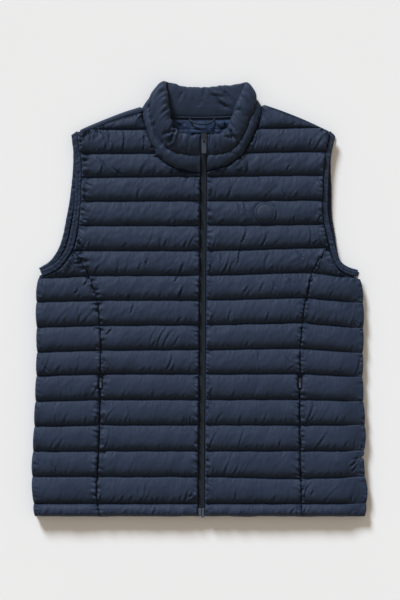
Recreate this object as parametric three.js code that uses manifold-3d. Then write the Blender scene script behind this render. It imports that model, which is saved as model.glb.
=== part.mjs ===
// A man's quilted vest with a stand collar and a full-length zip, laid flat on its back with the front up.
// Millimetres. +X is the wearer's left, +Y runs from the hem to the collar, +Z is up from the surface.
// The origin is on that surface, under the middle of the garment.
import * as THREE from "three";
import { mergeVertices } from "three/addons/utils/BufferGeometryUtils.js";
import Module from "manifold-3d";

// Heights of the layers, which lie on each other.
const BACK_THICK = 9; // padded back panel, pressed flat by the rest
const LAYER_GAP = 0.3; // between pieces that touch
const LINING_THICK = 1;
const LINING_FLOOR = BACK_THICK + LAYER_GAP;
const FRONT_FLOOR = LINING_FLOOR + LINING_THICK + LAYER_GAP; // inside of the front panels
const SEAM_THICK = 2.5; // two shells stitched together
const LOFT = 9.5; // how far a full channel stands up from its stitched lines
const EDGE_RUN = 8; // distance over which a panel thins to its seam
const SEAM_GAP = 0.35; // between two panels in the plane
const SCALLOP = 2.4; // how far a stitched line pulls the side edge in
const HEM_Y = -378;

// Sizes of the small parts.
const ZIP_HALF = 5.5; // visible half of the zip tape
const ZIP_SLIT = 0.1; // half the slit between the two tapes
const TAPE_THICK = 1.3;
const TAPE_RISE = 1.2; // the tape's underside over the zip's middle line
const ZIP_TOP_Y = 286;
const ZIP_STEP = 22;
const BINDING_WIDTH = 10.5;
const BINDING_THICK = 3.4;
const POCKET_TOP = -128;
const POCKET_BOTTOM = -316;
const POCKET_HALF = 1.5;
const POCKET_END = 8; // the tape stops this far inside the slit
const NECK_GAP = 2; // front panels stop this far from the collar's inner seam line
const BACK_NECK_GAP = 1.2;
const TIP_CUT = 1.2; // taken off the front panel's sharp corner at the neck
const SIDE_TOP_LINE = 6.12; // where a side panel's top corner lies, in stitched lines from the shoulder
const BINDING_FLOOR = FRONT_FLOOR + 0.2; // the front half of a binding lies on its back half
const BACK_BINDING = FRONT_FLOOR - 0.4; // height of the back half, which rests on the surface
const ARMHOLE_STEPS = 24;
const HEM_STEPS = 14;
const HEM_BOW = 0.6;
const LINING_INSET = { open: 9, square: 4.5, seam: 14, shoulder: 5 }; // from each kind of edge
const LINING_STEP = 7; // least distance between its outline's points
const YOKE_TOP = FRONT_FLOOR + SEAM_THICK - 0.2; // the back's strip that is folded forward over the shoulder
const COLLAR_SEAM = 2.2; // thickness at the collar's stitched line
const NECK_TAPE = { width: 3.4, low: 10.4, high: 11.6, soft: 0.6 };
const LOOP = {
  radius: 1.3,
  path: [[-16.5, 313.4], [-15.4, 309], [-8, 305], [5.4, 303.3], [17, 305], [24, 309], [25, 313.6]],
};

// Zip sliders and their pull tabs. The tab's cross bar turns in the window under the slider's bridge.
const SLIDER = {
  y: 279, lean: 0.197, lift: 2.8, width: 10.4, length: 16, plate: 2.4,
  window: 4, rise: 2.6, wall: 1.3, bridge: 2.2, pivotY: -3,
};
const PULL = { width: 7.8, length: 23, thick: 1.3, bar: 1.4, hole: 3.6, eye: 4.6 };
const POCKET_SLIDER = {
  y: -141, lift: 3.4, width: 4.4, length: 7, plate: 1.4,
  window: 2, rise: 1.5, wall: 0.8, bridge: 1, pivotY: -1.2,
};
const POCKET_PULL = { width: 3.4, length: 12, thick: 0.8, bar: 0.8, hole: 1.8, eye: 2.6 };
const ZIP_END = {
  y: -371, z: 13.8, length: 14, thick: 2.6, offset: 2.8, boxWidth: 5, pinWidth: 4.6, pinDrop: 1,
};
const BADGE = {
  x: 114,
  y: 149.5,
  clear: 0.4,
  rings: [
    { radius: 4, thick: 0 }, { radius: 11, thick: 0 }, { radius: 18, thick: 0 },
    { radius: 18.5, thick: 1 }, { radius: 17.5, thick: 1.8 }, { radius: 15, thick: 1.8 },
    { radius: 14, thick: 1 }, { radius: 9, thick: 1.2 }, { radius: 4, thick: 1.2 },
  ],
};

// Stitched lines from the shoulder to the hem: height at the zip, then how far the line lies above that
// at the princess seam and at the side edge, on the wearer's right and left.
const STITCHED = [
  { y: 336, seamR: 0, sideR: 0, seamL: 0, sideL: 0 },
  { y: 295, seamR: 0, sideR: 0, seamL: 3, sideL: 3 },
  { y: 253, seamR: 0, sideR: 0, seamL: 3, sideL: 3 },
  { y: 213, seamR: -2, sideR: -2, seamL: 2, sideL: 2 },
  { y: 170.5, seamR: -1, sideR: -1, seamL: 1, sideL: 0 },
  { y: 127.5, seamR: 0, sideR: 0, seamL: 2, sideL: 0 },
  { y: 84, seamR: 0, sideR: 0, seamL: 5, sideL: 0 },
  { y: 41.5, seamR: -1, sideR: -6, seamL: 4.5, sideL: -6.5 },
  { y: -2, seamR: 0, sideR: -3, seamL: 4, sideL: -5 },
  { y: -45, seamR: -1, sideR: -4.5, seamL: 3.5, sideL: -6 },
  { y: -88, seamR: -1, sideR: -4.5, seamL: 2, sideL: -6 },
  { y: -130.5, seamR: 0, sideR: -3, seamL: 0.5, sideL: -5 },
  { y: -175, seamR: 0, sideR: -3, seamL: 0.5, sideL: -3 },
  { y: -219, seamR: 0, sideR: -2.5, seamL: 0, sideL: 0 },
  { y: -264, seamR: 0, sideR: -1, seamL: 0, sideL: 0 },
  { y: -308.5, seamR: 0, sideR: 0, seamL: -4, sideL: 0 },
  { y: -356, seamR: 0, sideR: 0, seamL: 0, sideL: 0 },
  { y: HEM_Y, seamR: 0, sideR: 0, seamL: 0, sideL: 0 },
];

// Outlines of each half, as distances to the side of the middle (outwards is positive).
const RIGHT = {
  sign: -1,
  name: "right",
  side: [
    { y: -378, x: 288 }, { y: -312, x: 292.5 }, { y: -220, x: 288.5 }, { y: -90, x: 284 },
    { y: 0, x: 285 }, { y: 46, x: 281 },
  ],
  princess: [
    { y: -378, x: 172 }, { y: -350, x: 178 }, { y: -250, x: 174.5 }, { y: -90, x: 171.5 },
    { y: -46, x: 173 }, { y: 0, x: 178 }, { y: 44, x: 194 }, { y: 84, x: 218 },
  ],
  armholeFront: [
    { y: 285, x: 223 }, { y: 259, x: 219.6 }, { y: 233, x: 215.2 }, { y: 204, x: 216 }, { y: 172, x: 217 },
    { y: 129, x: 221.9 }, { y: 91, x: 230.5 }, { y: 75, x: 240 }, { y: 60, x: 254 }, { y: 49, x: 277 },
  ],
  armholeBack: [
    { y: 285, x: 223 }, { y: 261, x: 220.5 }, { y: 232, x: 220.6 }, { y: 186, x: 224.6 }, { y: 147, x: 231 },
    { y: 92, x: 244 }, { y: 66, x: 261 }, { y: 54, x: 280 },
  ],
  shoulderFold: [
    { x: 104, y: 334 }, { x: 133.6, y: 324.5 }, { x: 169.6, y: 310.6 }, { x: 202.7, y: 296.5 },
    { x: 214, y: 290.5 },
  ],
  shoulderSeam: [
    { x: 103, y: 324 }, { x: 136.6, y: 315 }, { x: 180, y: 298.4 }, { x: 203, y: 290 }, { x: 214, y: 285.5 },
  ],
  collarRows: [0, 7],
};
const LEFT = {
  sign: 1,
  name: "left",
  side: [
    { y: -378, x: 289 }, { y: -335, x: 292.5 }, { y: -284, x: 286.5 }, { y: -240, x: 289.5 },
    { y: -150, x: 285 }, { y: 0, x: 285.5 }, { y: 46, x: 279.5 },
  ],
  princess: [
    { y: -378, x: 178 }, { y: -250, x: 174.8 }, { y: -88, x: 175.4 }, { y: -46, x: 178.6 }, { y: 0, x: 185 },
    { y: 44, x: 195 }, { y: 66, x: 206 }, { y: 88, x: 221 },
  ],
  armholeFront: [
    { y: 284, x: 237 }, { y: 254, x: 230 }, { y: 236, x: 227.4 }, { y: 188, x: 224.8 }, { y: 148, x: 224.8 },
    { y: 113, x: 231.9 }, { y: 80, x: 240.5 }, { y: 62, x: 248 }, { y: 54, x: 259 }, { y: 48.5, x: 278 },
  ],
  armholeBack: [
    { y: 284, x: 237 }, { y: 246, x: 229.5 }, { y: 188, x: 230.6 }, { y: 148.5, x: 231.2 },
    { y: 113, x: 236.3 }, { y: 67, x: 246 }, { y: 57, x: 258 }, { y: 50.5, x: 277 },
  ],
  shoulderFold: [
    { x: 113, y: 338 }, { x: 145, y: 327 }, { x: 183, y: 311.8 }, { x: 221.3, y: 294.1 },
    { x: 226.5, y: 291.5 },
  ],
  shoulderSeam: [
    { x: 112, y: 332 }, { x: 144, y: 321.5 }, { x: 182, y: 306.5 }, { x: 220, y: 289 }, { x: 226.5, y: 286 },
  ],
  collarRows: [24, 17],
};

// The collar's inner face, from the zip on the wearer's right round the back to the zip on the left:
// its seam to the body, its stitched line and its top edge. loft is the share of the full padding there.
const COLLAR_LOFT = 8.5;
const COLLAR = [
  { base: [1.3, 219.8, 11.2], mid: [1.5, 250, 19], top: [1.9, 285.5, 26], loft: 0.55 },
  { base: [-20, 222.4, 11.2], mid: [-20, 252, 20], top: [-18.3, 285, 27], loft: 1 },
  { base: [-42, 228, 11.4], mid: [-37.4, 255.4, 21], top: [-34, 289, 28.5], loft: 1 },
  { base: [-62, 240.5, 11.6], mid: [-54.8, 262, 22], top: [-43.5, 296.7, 29], loft: 1 },
  { base: [-78.2, 261, 12], mid: [-69, 277, 22.5], top: [-49, 310.6, 29], loft: 1 },
  { base: [-89, 291.5, 12.6], mid: [-78, 302, 21.5], top: [-52.5, 333.2, 28], loft: 1 },
  { base: [-96, 312, 13], mid: [-85.6, 326, 19.5], top: [-55.5, 357, 24.5], loft: 0.9 },
  { base: [-98, 324, 12.8], mid: [-87, 339.5, 16.8], top: [-58, 370, 19.8], loft: 0.75 },
  { base: [-98, 330, 11.4], mid: [-87, 346, 13.9], top: [-58.4, 376, 15.6], loft: 0.65 },
  { base: [-93.5, 331, 10], mid: [-83, 346.5, 11.2], top: [-54, 376.6, 12], loft: 0.75 },
  { base: [-72.2, 323.4, 9.8], mid: [-60, 344.6, 10.5], top: [-37.4, 372.4, 11.3], loft: 1 },
  { base: [-44.4, 318.3, 9.8], mid: [-37.4, 339.5, 10.4], top: [-20, 369.5, 11.2], loft: 1 },
  { base: [7, 316.8, 9.8], mid: [7, 337.6, 10.4], top: [7.5, 367.8, 11.2], loft: 1 },
  { base: [56.6, 318.8, 9.8], mid: [51.3, 339.6, 10.4], top: [34, 370, 11.2], loft: 1 },
  { base: [84.4, 324.5, 9.8], mid: [74, 344.5, 10.5], top: [51.3, 372.8, 11.3], loft: 1 },
  { base: [102, 333, 10], mid: [92, 348, 11.2], top: [72, 375.6, 12], loft: 0.75 },
  { base: [106, 332.5, 11.4], mid: [96.6, 347, 13.9], top: [78, 374.2, 15.6], loft: 0.65 },
  { base: [106.5, 326, 12.8], mid: [96, 340, 16.8], top: [76.5, 368, 19.8], loft: 0.75 },
  { base: [103.8, 313, 13], mid: [92.6, 326, 19.5], top: [71, 354.5, 24.5], loft: 0.9 },
  { base: [97.6, 297, 12.6], mid: [85.4, 310.6, 21.5], top: [63, 338, 28], loft: 1 },
  { base: [88.4, 276.5, 12], mid: [78.6, 293, 22.5], top: [57.4, 320, 29], loft: 1 },
  { base: [73, 251.4, 11.6], mid: [67, 272.3, 22], top: [50.5, 303, 29], loft: 1 },
  { base: [54, 236, 11.4], mid: [53, 259.5, 21], top: [40.9, 290.6, 28.5], loft: 1 },
  { base: [34, 227.6, 11.2], mid: [34, 252.8, 20], top: [28.7, 285.2, 27], loft: 1 },
  { base: [12.9, 223, 11.2], mid: [13.2, 250.5, 19], top: [13.6, 285.5, 26], loft: 0.55 },
];

// The zip's middle line: it leans a little, and climbs the collar's front edge.
const ZIP = [
  { y: -379, x: 3.1, z: 11 }, { y: 150, x: 6.6, z: 11 }, { y: 212, x: 7, z: 11.2 },
  { y: 224, x: 7.1, z: 12.6 }, { y: 250, x: 7.35, z: 19.4 }, { y: 286, x: 7.75, z: 26.6 },
];

const smooth = (t) => {
  const s = Math.min(1, Math.max(0, t));
  return s * s * (3 - 2 * s);
};
const lerp = (a, b, t) => a + (b - a) * t;

// Value of a table's column at a key, through a monotone cubic so that it never overshoots its rows.
function along(rows, key, at, value) {
  const table = rows[0][key] < rows[rows.length - 1][key] ? rows : [...rows].reverse();
  const last = table.length - 1;
  if (at <= table[0][key]) return table[0][value];
  if (at >= table[last][key]) return table[last][value];
  const i = table.findIndex((row, k) => k < last && at < table[k + 1][key]);
  const slope = (k) => (table[k + 1][value] - table[k][value]) / (table[k + 1][key] - table[k][key]);
  const tangent = (k) => {
    if (k === 0) return slope(0);
    if (k === last) return slope(last - 1);
    const before = slope(k - 1);
    const after = slope(k);
    return before * after <= 0 ? 0 : (2 * before * after) / (before + after);
  };
  const width = table[i + 1][key] - table[i][key];
  const t = (at - table[i][key]) / width;
  return (
    (1 + 2 * t) * (1 - t) ** 2 * table[i][value] + t * (1 - t) ** 2 * width * tangent(i) +
    t * t * (3 - 2 * t) * table[i + 1][value] + t * t * (t - 1) * width * tangent(i + 1)
  );
}

// Points of a smooth curve through a half's outline table, in the vest's own frame.
function path(half, rows, count) {
  const points = rows.map((row) => new THREE.Vector3(half.sign * row.x, row.y, 0));
  return new THREE.CatmullRomCurve3(points, false, "centripetal").getSpacedPoints(count);
}

// A path moved sideways, towards the cloth: left of its direction for a positive distance.
function moved(points, distance) {
  return points.map((point, i) => {
    const before = points[Math.max(0, i - 1)];
    const after = points[Math.min(points.length - 1, i + 1)];
    const way = after.clone().sub(before).normalize();
    return new THREE.Vector3(point.x - way.y * distance, point.y + way.x * distance, point.z);
  });
}

// Where a path that runs steadily in y crosses a height; past its ends it keeps its end value.
function crossing(points, y) {
  const rows = points[0].y < points[points.length - 1].y ? points : [...points].reverse();
  if (y <= rows[0].y) return rows[0].x;
  const i = rows.findIndex((point) => point.y > y);
  if (i < 0) return rows[rows.length - 1].x;
  const t = (y - rows[i - 1].y) / (rows[i].y - rows[i - 1].y);
  return lerp(rows[i - 1].x, rows[i].x, t);
}

const zipX = (y) => along(ZIP, "y", y, "x");

// Height of a stitched line, counted from 0 at the shoulder with fractions inside a channel.
function lineY(half, line, x) {
  const k = Math.min(STITCHED.length - 2, Math.floor(line));
  const across = (row) => {
    const seam = row[half.sign < 0 ? "seamR" : "seamL"];
    const side = row[half.sign < 0 ? "sideR" : "sideL"];
    const seamX = along(half.princess, "y", row.y, "x");
    const from = half.sign * x;
    if (from < seamX) return row.y + seam * smooth(from / seamX);
    const share = (from - seamX) / (along(half.side, "y", row.y, "x") - seamX);
    return row.y + lerp(seam, side, Math.min(1, share));
  };
  return lerp(across(STITCHED[k]), across(STITCHED[k + 1]), line - k);
}

const puff = (line) => {
  const f = line - Math.floor(line);
  return (4 * f * (1 - f)) ** 0.55;
};

// The side edge, pulled in at each stitched line.
function sideX(half, y, line) {
  return half.sign * (along(half.side, "y", y, "x") - SCALLOP * (1 - puff(line)));
}

// A closed surface from points and faces, turned to face outwards.
function body(points, faces) {
  let volume = 0;
  for (let i = 0; i < faces.length; i += 3)
    volume += points[faces[i]].dot(points[faces[i + 1]].clone().cross(points[faces[i + 2]]));
  const order = volume < 0 ? faces.reverse() : faces;
  const geometry = new THREE.BufferGeometry();
  const numbers = points.flatMap((p) => [p.x, p.y, p.z]);
  geometry.setAttribute("position", new THREE.Float32BufferAttribute(numbers, 3));
  geometry.setIndex(order);
  geometry.computeVertexNormals();
  return geometry;
}

// A panel with a quilted top grid, rows running down and columns to the right, over a flat inside.
function flatInside(top, floor) {
  const rows = top.length;
  const columns = top[0].length;
  const points = top.flat();
  const faces = [];
  const at = (r, c) => r * columns + c;
  for (let r = 0; r < rows - 1; r++)
    for (let c = 0; c < columns - 1; c++) {
      faces.push(at(r, c), at(r + 1, c), at(r + 1, c + 1));
      faces.push(at(r, c), at(r + 1, c + 1), at(r, c + 1));
    }
  const under = (r, c) => {
    const p = points[at(r, c)];
    return points.push(new THREE.Vector3(p.x, p.y, floor)) - 1;
  };
  const left = top.map((_, r) => under(r, 0));
  const right = top.map((_, r) => under(r, columns - 1));
  const first = top[0].map((_, c) => (c === 0 ? left[0] : c === columns - 1 ? right[0] : under(0, c)));
  const end = rows - 1;
  const last = top[0].map((_, c) => (c === 0 ? left[end] : c === columns - 1 ? right[end] : under(end, c)));
  for (let r = 0; r < end; r++) {
    faces.push(at(r, 0), left[r], left[r + 1], at(r, 0), left[r + 1], at(r + 1, 0));
    const c = columns - 1;
    faces.push(at(r, c), right[r + 1], right[r], at(r, c), at(r + 1, c), right[r + 1]);
  }
  for (let c = 0; c < columns - 1; c++) {
    faces.push(at(0, c), first[c + 1], first[c], at(0, c), at(0, c + 1), first[c + 1]);
    faces.push(at(end, c), last[c], last[c + 1], at(end, c), last[c + 1], at(end, c + 1));
    faces.push(left[1], first[c], first[c + 1]);
    faces.push(left[end - 1], last[c + 1], last[c]);
  }
  faces.push(left[1], right[0], right[1], left[end - 1], right[end - 1], right[end]);
  for (let r = 1; r < end - 1; r++)
    faces.push(left[r], right[r], right[r + 1], left[r], right[r + 1], left[r + 1]);
  return body(points, faces);
}

// A body from rings of points, joined in order. Its end rings are closed across, seen along the named axes.
function rings(list, across) {
  const size = list[0].length;
  const points = list.flat();
  const faces = [];
  for (let r = 0; r < list.length - 1; r++)
    for (let k = 0; k < size; k++) {
      const next = (k + 1) % size;
      faces.push(r * size + k, r * size + next, (r + 1) * size + next);
      faces.push(r * size + k, (r + 1) * size + next, (r + 1) * size + k);
    }
  [0, list.length - 1].forEach((r) => {
    const flat = list[r].map((p) => new THREE.Vector2(p[across[0]], p[across[1]]));
    THREE.ShapeUtils.triangulateShape(flat, []).forEach((face) => {
      const [i, j, k] = facing(face, size, r === 0);
      faces.push(r * size + i, r * size + j, r * size + k);
    });
  });
  return body(points, faces);
}

// A cap's face, turned so that its steps run against the ring at the first end and with it at the last.
function facing(face, size, first) {
  const [i, j, k] = [...face].sort((a, b) => a - b);
  return first ? [i, k, j] : [i, j, k];
}

function distanceTo(edges, x, y) {
  let best = Infinity;
  for (const edge of edges)
    for (let i = 0; i < edge.length - 1; i++) {
      const ax = edge[i].x;
      const ay = edge[i].y;
      const bx = edge[i + 1].x - ax;
      const by = edge[i + 1].y - ay;
      const t = Math.min(1, Math.max(0, ((x - ax) * bx + (y - ay) * by) / (bx * bx + by * by || 1)));
      best = Math.min(best, Math.hypot(x - ax - bx * t, y - ay - by * t));
    }
  return best;
}

// Rows of a channel, as shares of its height, and columns as shares of a panel's width.
const CHANNEL_ROWS = [0, 0.12, 0.34, 0.66, 0.88];
const FRONT_COLUMNS = [0, 0.04, 0.12, 0.36, 0.64, 0.88, 0.96, 1];
const SIDE_COLUMNS = [0, 0.06, 0.16, 0.5, 0.84, 0.94, 1];

function linesFrom(first) {
  const lines = [first];
  for (let k = Math.floor(first); k < STITCHED.length - 1; k++)
    for (const share of CHANNEL_ROWS) if (k + share > first + 0.03) lines.push(k + share);
  return [...lines, STITCHED.length - 1];
}

// A panel's outer points: rows follow the stitched lines from a left to a right edge, each given as x at a
// height and line, and the padding thins towards every edge.
function quilted(half, lines, columns, leftX, rightX) {
  const ends = lines.map((line) =>
    [leftX, rightX].map((edge) => {
      let x = edge(lineY(half, line, 0), line);
      for (let i = 0; i < 14; i++) x = lerp(x, edge(lineY(half, line, x), line), 0.5);
      return { x, y: lineY(half, line, x) };
    }),
  );
  const edges = [ends.map((e) => e[0]), ends.map((e) => e[1]), ends[ends.length - 1], ends[0]];
  return lines.map((line, r) =>
    columns.map((share) => {
      const x = lerp(ends[r][0].x, ends[r][1].x, share);
      const y = lineY(half, line, x);
      const edge = smooth(distanceTo(edges, x, y) / EDGE_RUN);
      return new THREE.Vector3(x, y, FRONT_FLOOR + SEAM_THICK + LOFT * puff(line) * edge);
    }),
  );
}

// The neck seam on one half, from the zip to the shoulder, moved off the collar by a distance.
function neckPath(half, distance) {
  const [from, to] = half.collarRows;
  const rows = from < to ? COLLAR.slice(from, to + 1) : COLLAR.slice(to, from + 1).reverse();
  const points = rows.map((row) => new THREE.Vector3(row.base[0], row.base[1], 0));
  const curve = new THREE.CatmullRomCurve3(points, false, "centripetal").getSpacedPoints(40);
  return moved(curve, -half.sign * distance);
}

const seamHalf = (y) => (y < POCKET_TOP && y > POCKET_BOTTOM ? POCKET_HALF + SEAM_GAP : SEAM_GAP / 2);

function frontPanel(half) {
  const princess = path(half, half.princess, 80);
  const hole = armholeInside(half);
  const shoulder = path(half, half.shoulderSeam, 24);
  const neck = neckPath(half, NECK_GAP);
  const holeY = half.princess[half.princess.length - 1].y;
  const outer = (y) => {
    if (y < holeY) return crossing(princess, y) - half.sign * seamHalf(y);
    const shoulderX = y > shoulder[shoulder.length - 1].y ? crossing(shoulder, y) : hole[0].x;
    return half.sign * Math.min(Math.abs(crossing(hole, y)), Math.abs(shoulderX));
  };
  const inner = (y) => (y < neck[0].y ? zipX(y) + half.sign * (ZIP_HALF + LAYER_GAP) : crossing(neck, y));
  const topY = Math.min(neck[neck.length - 1].y, shoulder[0].y) - TIP_CUT;
  const first = (STITCHED[0].y - topY) / (STITCHED[0].y - STITCHED[1].y);
  return half.sign < 0
    ? quilted(half, linesFrom(first), FRONT_COLUMNS, outer, inner)
    : quilted(half, linesFrom(first), FRONT_COLUMNS, inner, outer);
}

// The panels' armhole edge: inside the binding, and a little further in where the curve turns level.
function armholeInside(half) {
  const points = path(half, half.armholeFront, 60);
  const near = moved(points, -half.sign * (BINDING_WIDTH + 0.6));
  const far = moved(points, -half.sign * (BINDING_WIDTH + 2.8));
  return near.map((p, i) => p.clone().lerp(far[i], smooth((i - 30) / 14)));
}

function sidePanel(half) {
  const hole = armholeInside(half);
  const armpit = hole[hole.length - 1];
  const princess = path(half, half.princess, 80);
  const outer = (y, line) => {
    const edge = sideX(half, y, line);
    return y < armpit.y ? edge : half.sign * Math.min(Math.abs(edge), Math.abs(crossing(hole, y)));
  };
  const inner = (y) => crossing(princess, y) + half.sign * seamHalf(y);
  return half.sign < 0
    ? quilted(half, linesFrom(SIDE_TOP_LINE), SIDE_COLUMNS, outer, inner)
    : quilted(half, linesFrom(SIDE_TOP_LINE), SIDE_COLUMNS, inner, outer);
}

// Rows of a rolled edge, from the surface up: how far in from the outline, and the height.
// An open edge is rounded, a bound or neck edge stands square, and a side seam rises to the front panel.
const LIP = FRONT_FLOOR - LAYER_GAP;
const EDGES = {
  open: [[4, 0], [0, 4], [1.2, 7.6], [3.4, BACK_THICK], [5, BACK_THICK], [6.4, BACK_THICK]],
  square: [[0.9, 0], [0, 1], [0, 8], [0.9, BACK_THICK], [2.4, BACK_THICK], [4, BACK_THICK]],
  seam: [[4, 0], [0, 5], [1, 9], [2.6, LIP], [7, LIP], [8, BACK_THICK]],
};

// The back's outline, counter-clockwise from the hem on the wearer's right, with the kind of edge at each
// point. Shoulder points also hold the seam that the folded strip reaches.
function backOutline() {
  const list = [];
  const push = (points, edge, seams = []) => points.forEach((p, i) => list.push({ p, edge, seam: seams[i] }));
  const hem = [];
  for (let i = 1; i < HEM_STEPS; i++) {
    const t = i / HEM_STEPS;
    const x = lerp(-RIGHT.side[0].x, LEFT.side[0].x, t);
    hem.push(new THREE.Vector3(x, HEM_Y - HEM_BOW * Math.sin(t * Math.PI), 0));
  }
  push(hem, "open");
  sideAndArm(LEFT).forEach(([points, edge, seams]) => push(points, edge, seams));
  const neck = COLLAR.slice(8, 17).reverse();
  const points = neck.map(({ base }) => new THREE.Vector3(base[0], base[1] - BACK_NECK_GAP, 0));
  push(new THREE.CatmullRomCurve3(points, false, "centripetal").getSpacedPoints(18), "square");
  const down = sideAndArm(RIGHT).reverse();
  down.forEach(([points, edge, seams]) => push([...points].reverse(), edge, seams && [...seams].reverse()));
  return list;
}

// A half's side edge, armhole and shoulder, from the hem up.
function sideAndArm(half) {
  const side = [];
  const top = half.side[half.side.length - 1].y - BINDING_WIDTH - 3;
  for (let k = STITCHED.length - 1; k > 6; k--)
    for (const share of [0, -0.3, -0.7]) {
      const line = k + share;
      const y = lineY(half, line, half.sign * half.side[0].x);
      if (y < top) side.push(new THREE.Vector3(sideX(half, y, line), y, 0));
    }
  const inset = -half.sign * (BINDING_WIDTH + LAYER_GAP);
  const arm = moved(path(half, half.armholeBack, ARMHOLE_STEPS), inset).reverse();
  const seams = path(half, half.shoulderSeam, 12).reverse();
  const folds = path(half, half.shoulderFold, 12).reverse();
  return [
    [side, "seam"],
    [arm, "square"],
    [folds, "shoulder", seams],
  ];
}

function backPanel() {
  const outline = backOutline();
  const count = outline.length;
  const ringsUp = [0, 1, 2, 3, 4, 5].map((level) =>
    outline.map(({ p, edge, seam }, i) => {
      const before = outline[(i + count - 1) % count].p;
      const after = outline[(i + 1) % count].p;
      const way = after.clone().sub(before).normalize();
      const inward = new THREE.Vector3(-way.y, way.x, 0);
      if (edge !== "shoulder") {
        const [inset, z] = EDGES[edge][level];
        return p.clone().addScaledVector(inward, inset).setZ(z);
      }
      const strip = seam.clone().sub(p);
      const width = strip.length();
      const reach = [3, 0, 1.3, Math.min(5, width * 0.5), width - 0.7, width - 0.3][level];
      const z = [0, 5.5, 10.6, YOKE_TOP, YOKE_TOP, BACK_THICK][level];
      return p.clone().addScaledVector(strip.normalize(), reach).setZ(z);
    }),
  );
  return rings(ringsUp, ["x", "y"]);
}

// The lining is one thin sheet on the back, cut short of every edge. Points that would cross others are
// left out.
function lining() {
  const outline = backOutline();
  const count = outline.length;
  const border = [...outline, outline[0]].map(({ p }) => p);
  const ring = [];
  outline.forEach(({ p, edge, seam }, i) => {
    const way = outline[(i + 1) % count].p.clone().sub(outline[(i + count - 1) % count].p).normalize();
    const from = edge === "shoulder" ? seam : p;
    const reach = LINING_INSET[edge];
    const point = new THREE.Vector3(from.x - way.y * reach, from.y + way.x * reach, LINING_FLOOR);
    const before = ring[ring.length - 1];
    if (distanceTo([border], point.x, point.y) < reach - 0.2) return;
    if (!before || before.distanceTo(point) > LINING_STEP) ring.push(point);
  });
  return rings([ring, ring.map((p) => p.clone().setZ(p.z + LINING_THICK))], ["x", "y"]);
}

// The collar's wall, once round the neck, with two padded channels on its outside and a plain inside.
const OUTER_SHARES = [
  { at: 0.97, puff: 0.72 }, { at: 0.86, puff: 1 }, { at: 0.72, puff: 0.98 }, { at: 0.6, puff: 0.75 },
  { at: 0.52, puff: 0.3 }, { at: 0.5, puff: 0 }, { at: 0.47, puff: 0.35 }, { at: 0.38, puff: 0.85 },
  { at: 0.25, puff: 1 }, { at: 0.1, puff: 0.8 }, { at: 0, puff: 0 },
];

function collar() {
  const curve = (key) =>
    new THREE.CatmullRomCurve3(COLLAR.map((row) => new THREE.Vector3(...row[key])), false, "centripetal");
  const [base, mid, top] = [curve("base"), curve("mid"), curve("top")];
  const steps = (COLLAR.length - 1) * 2;
  const list = [];
  for (let i = 0; i <= steps; i++) {
    const t = i / steps;
    const inner = (v, s) => {
      if (v < 0.5) return base.getPoint(s).lerp(mid.getPoint(s), v * 2);
      return mid.getPoint(s).lerp(top.getPoint(s), v * 2 - 1);
    };
    const row = Math.min(COLLAR.length - 2, Math.floor(i / 2));
    const loft = COLLAR_LOFT * lerp(COLLAR[row].loft, COLLAR[row + 1].loft, i / 2 - row);
    const up = top.getPoint(t).sub(base.getPoint(t));
    const ring = [base.getPoint(t), inner(0.25, t), mid.getPoint(t), inner(0.75, t), top.getPoint(t)];
    for (const share of OUTER_SHARES) {
      const way = inner(share.at, Math.min(1, t + 0.01)).sub(inner(share.at, Math.max(0, t - 0.01)));
      const out = up.clone().cross(way).normalize();
      const point = inner(share.at, t).addScaledVector(out, COLLAR_SEAM + loft * share.puff);
      ring.push(point.setZ(Math.max(point.z, 0)));
    }
    list.push(ring);
  }
  return rings(list, ["y", "z"]);
}

// A strip of cloth along a path of outer-edge points, with its inner edge towards the cloth.
function strip(points, inward, profile, across) {
  return rings(
    points.map((p, i) => {
      const before = points[Math.max(0, i - 1)];
      const after = points[Math.min(points.length - 1, i + 1)];
      const way = after.clone().sub(before).setZ(0).normalize();
      return profile.map(([s, z]) => {
        const step = s * inward;
        return new THREE.Vector3(p.x - way.y * step, p.y + way.x * step, p.z + z);
      });
    }),
    across,
  );
}

// A rounded section of a given width between two heights.
function roundedSection(width, low, high) {
  const r = Math.min(1.4, (high - low) / 2.5);
  return [
    [0, low + r], [r, low], [width - r, low], [width, low + r],
    [width, high - r], [width - r, high], [r, high], [0, high - r],
  ];
}

function zipPath(from, to, step) {
  const points = [];
  const count = Math.round((to - from) / step);
  for (let i = 0; i <= count; i++) {
    const y = lerp(from, to, i / count);
    points.push(new THREE.Vector3(zipX(y), y, along(ZIP, "y", y, "z")));
  }
  return points;
}

const shape = (points) => new THREE.Shape(points.map(([x, y]) => new THREE.Vector2(x, y)));
const hole = (points) => new THREE.Path(points.map(([x, y]) => new THREE.Vector2(x, y)));

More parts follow.
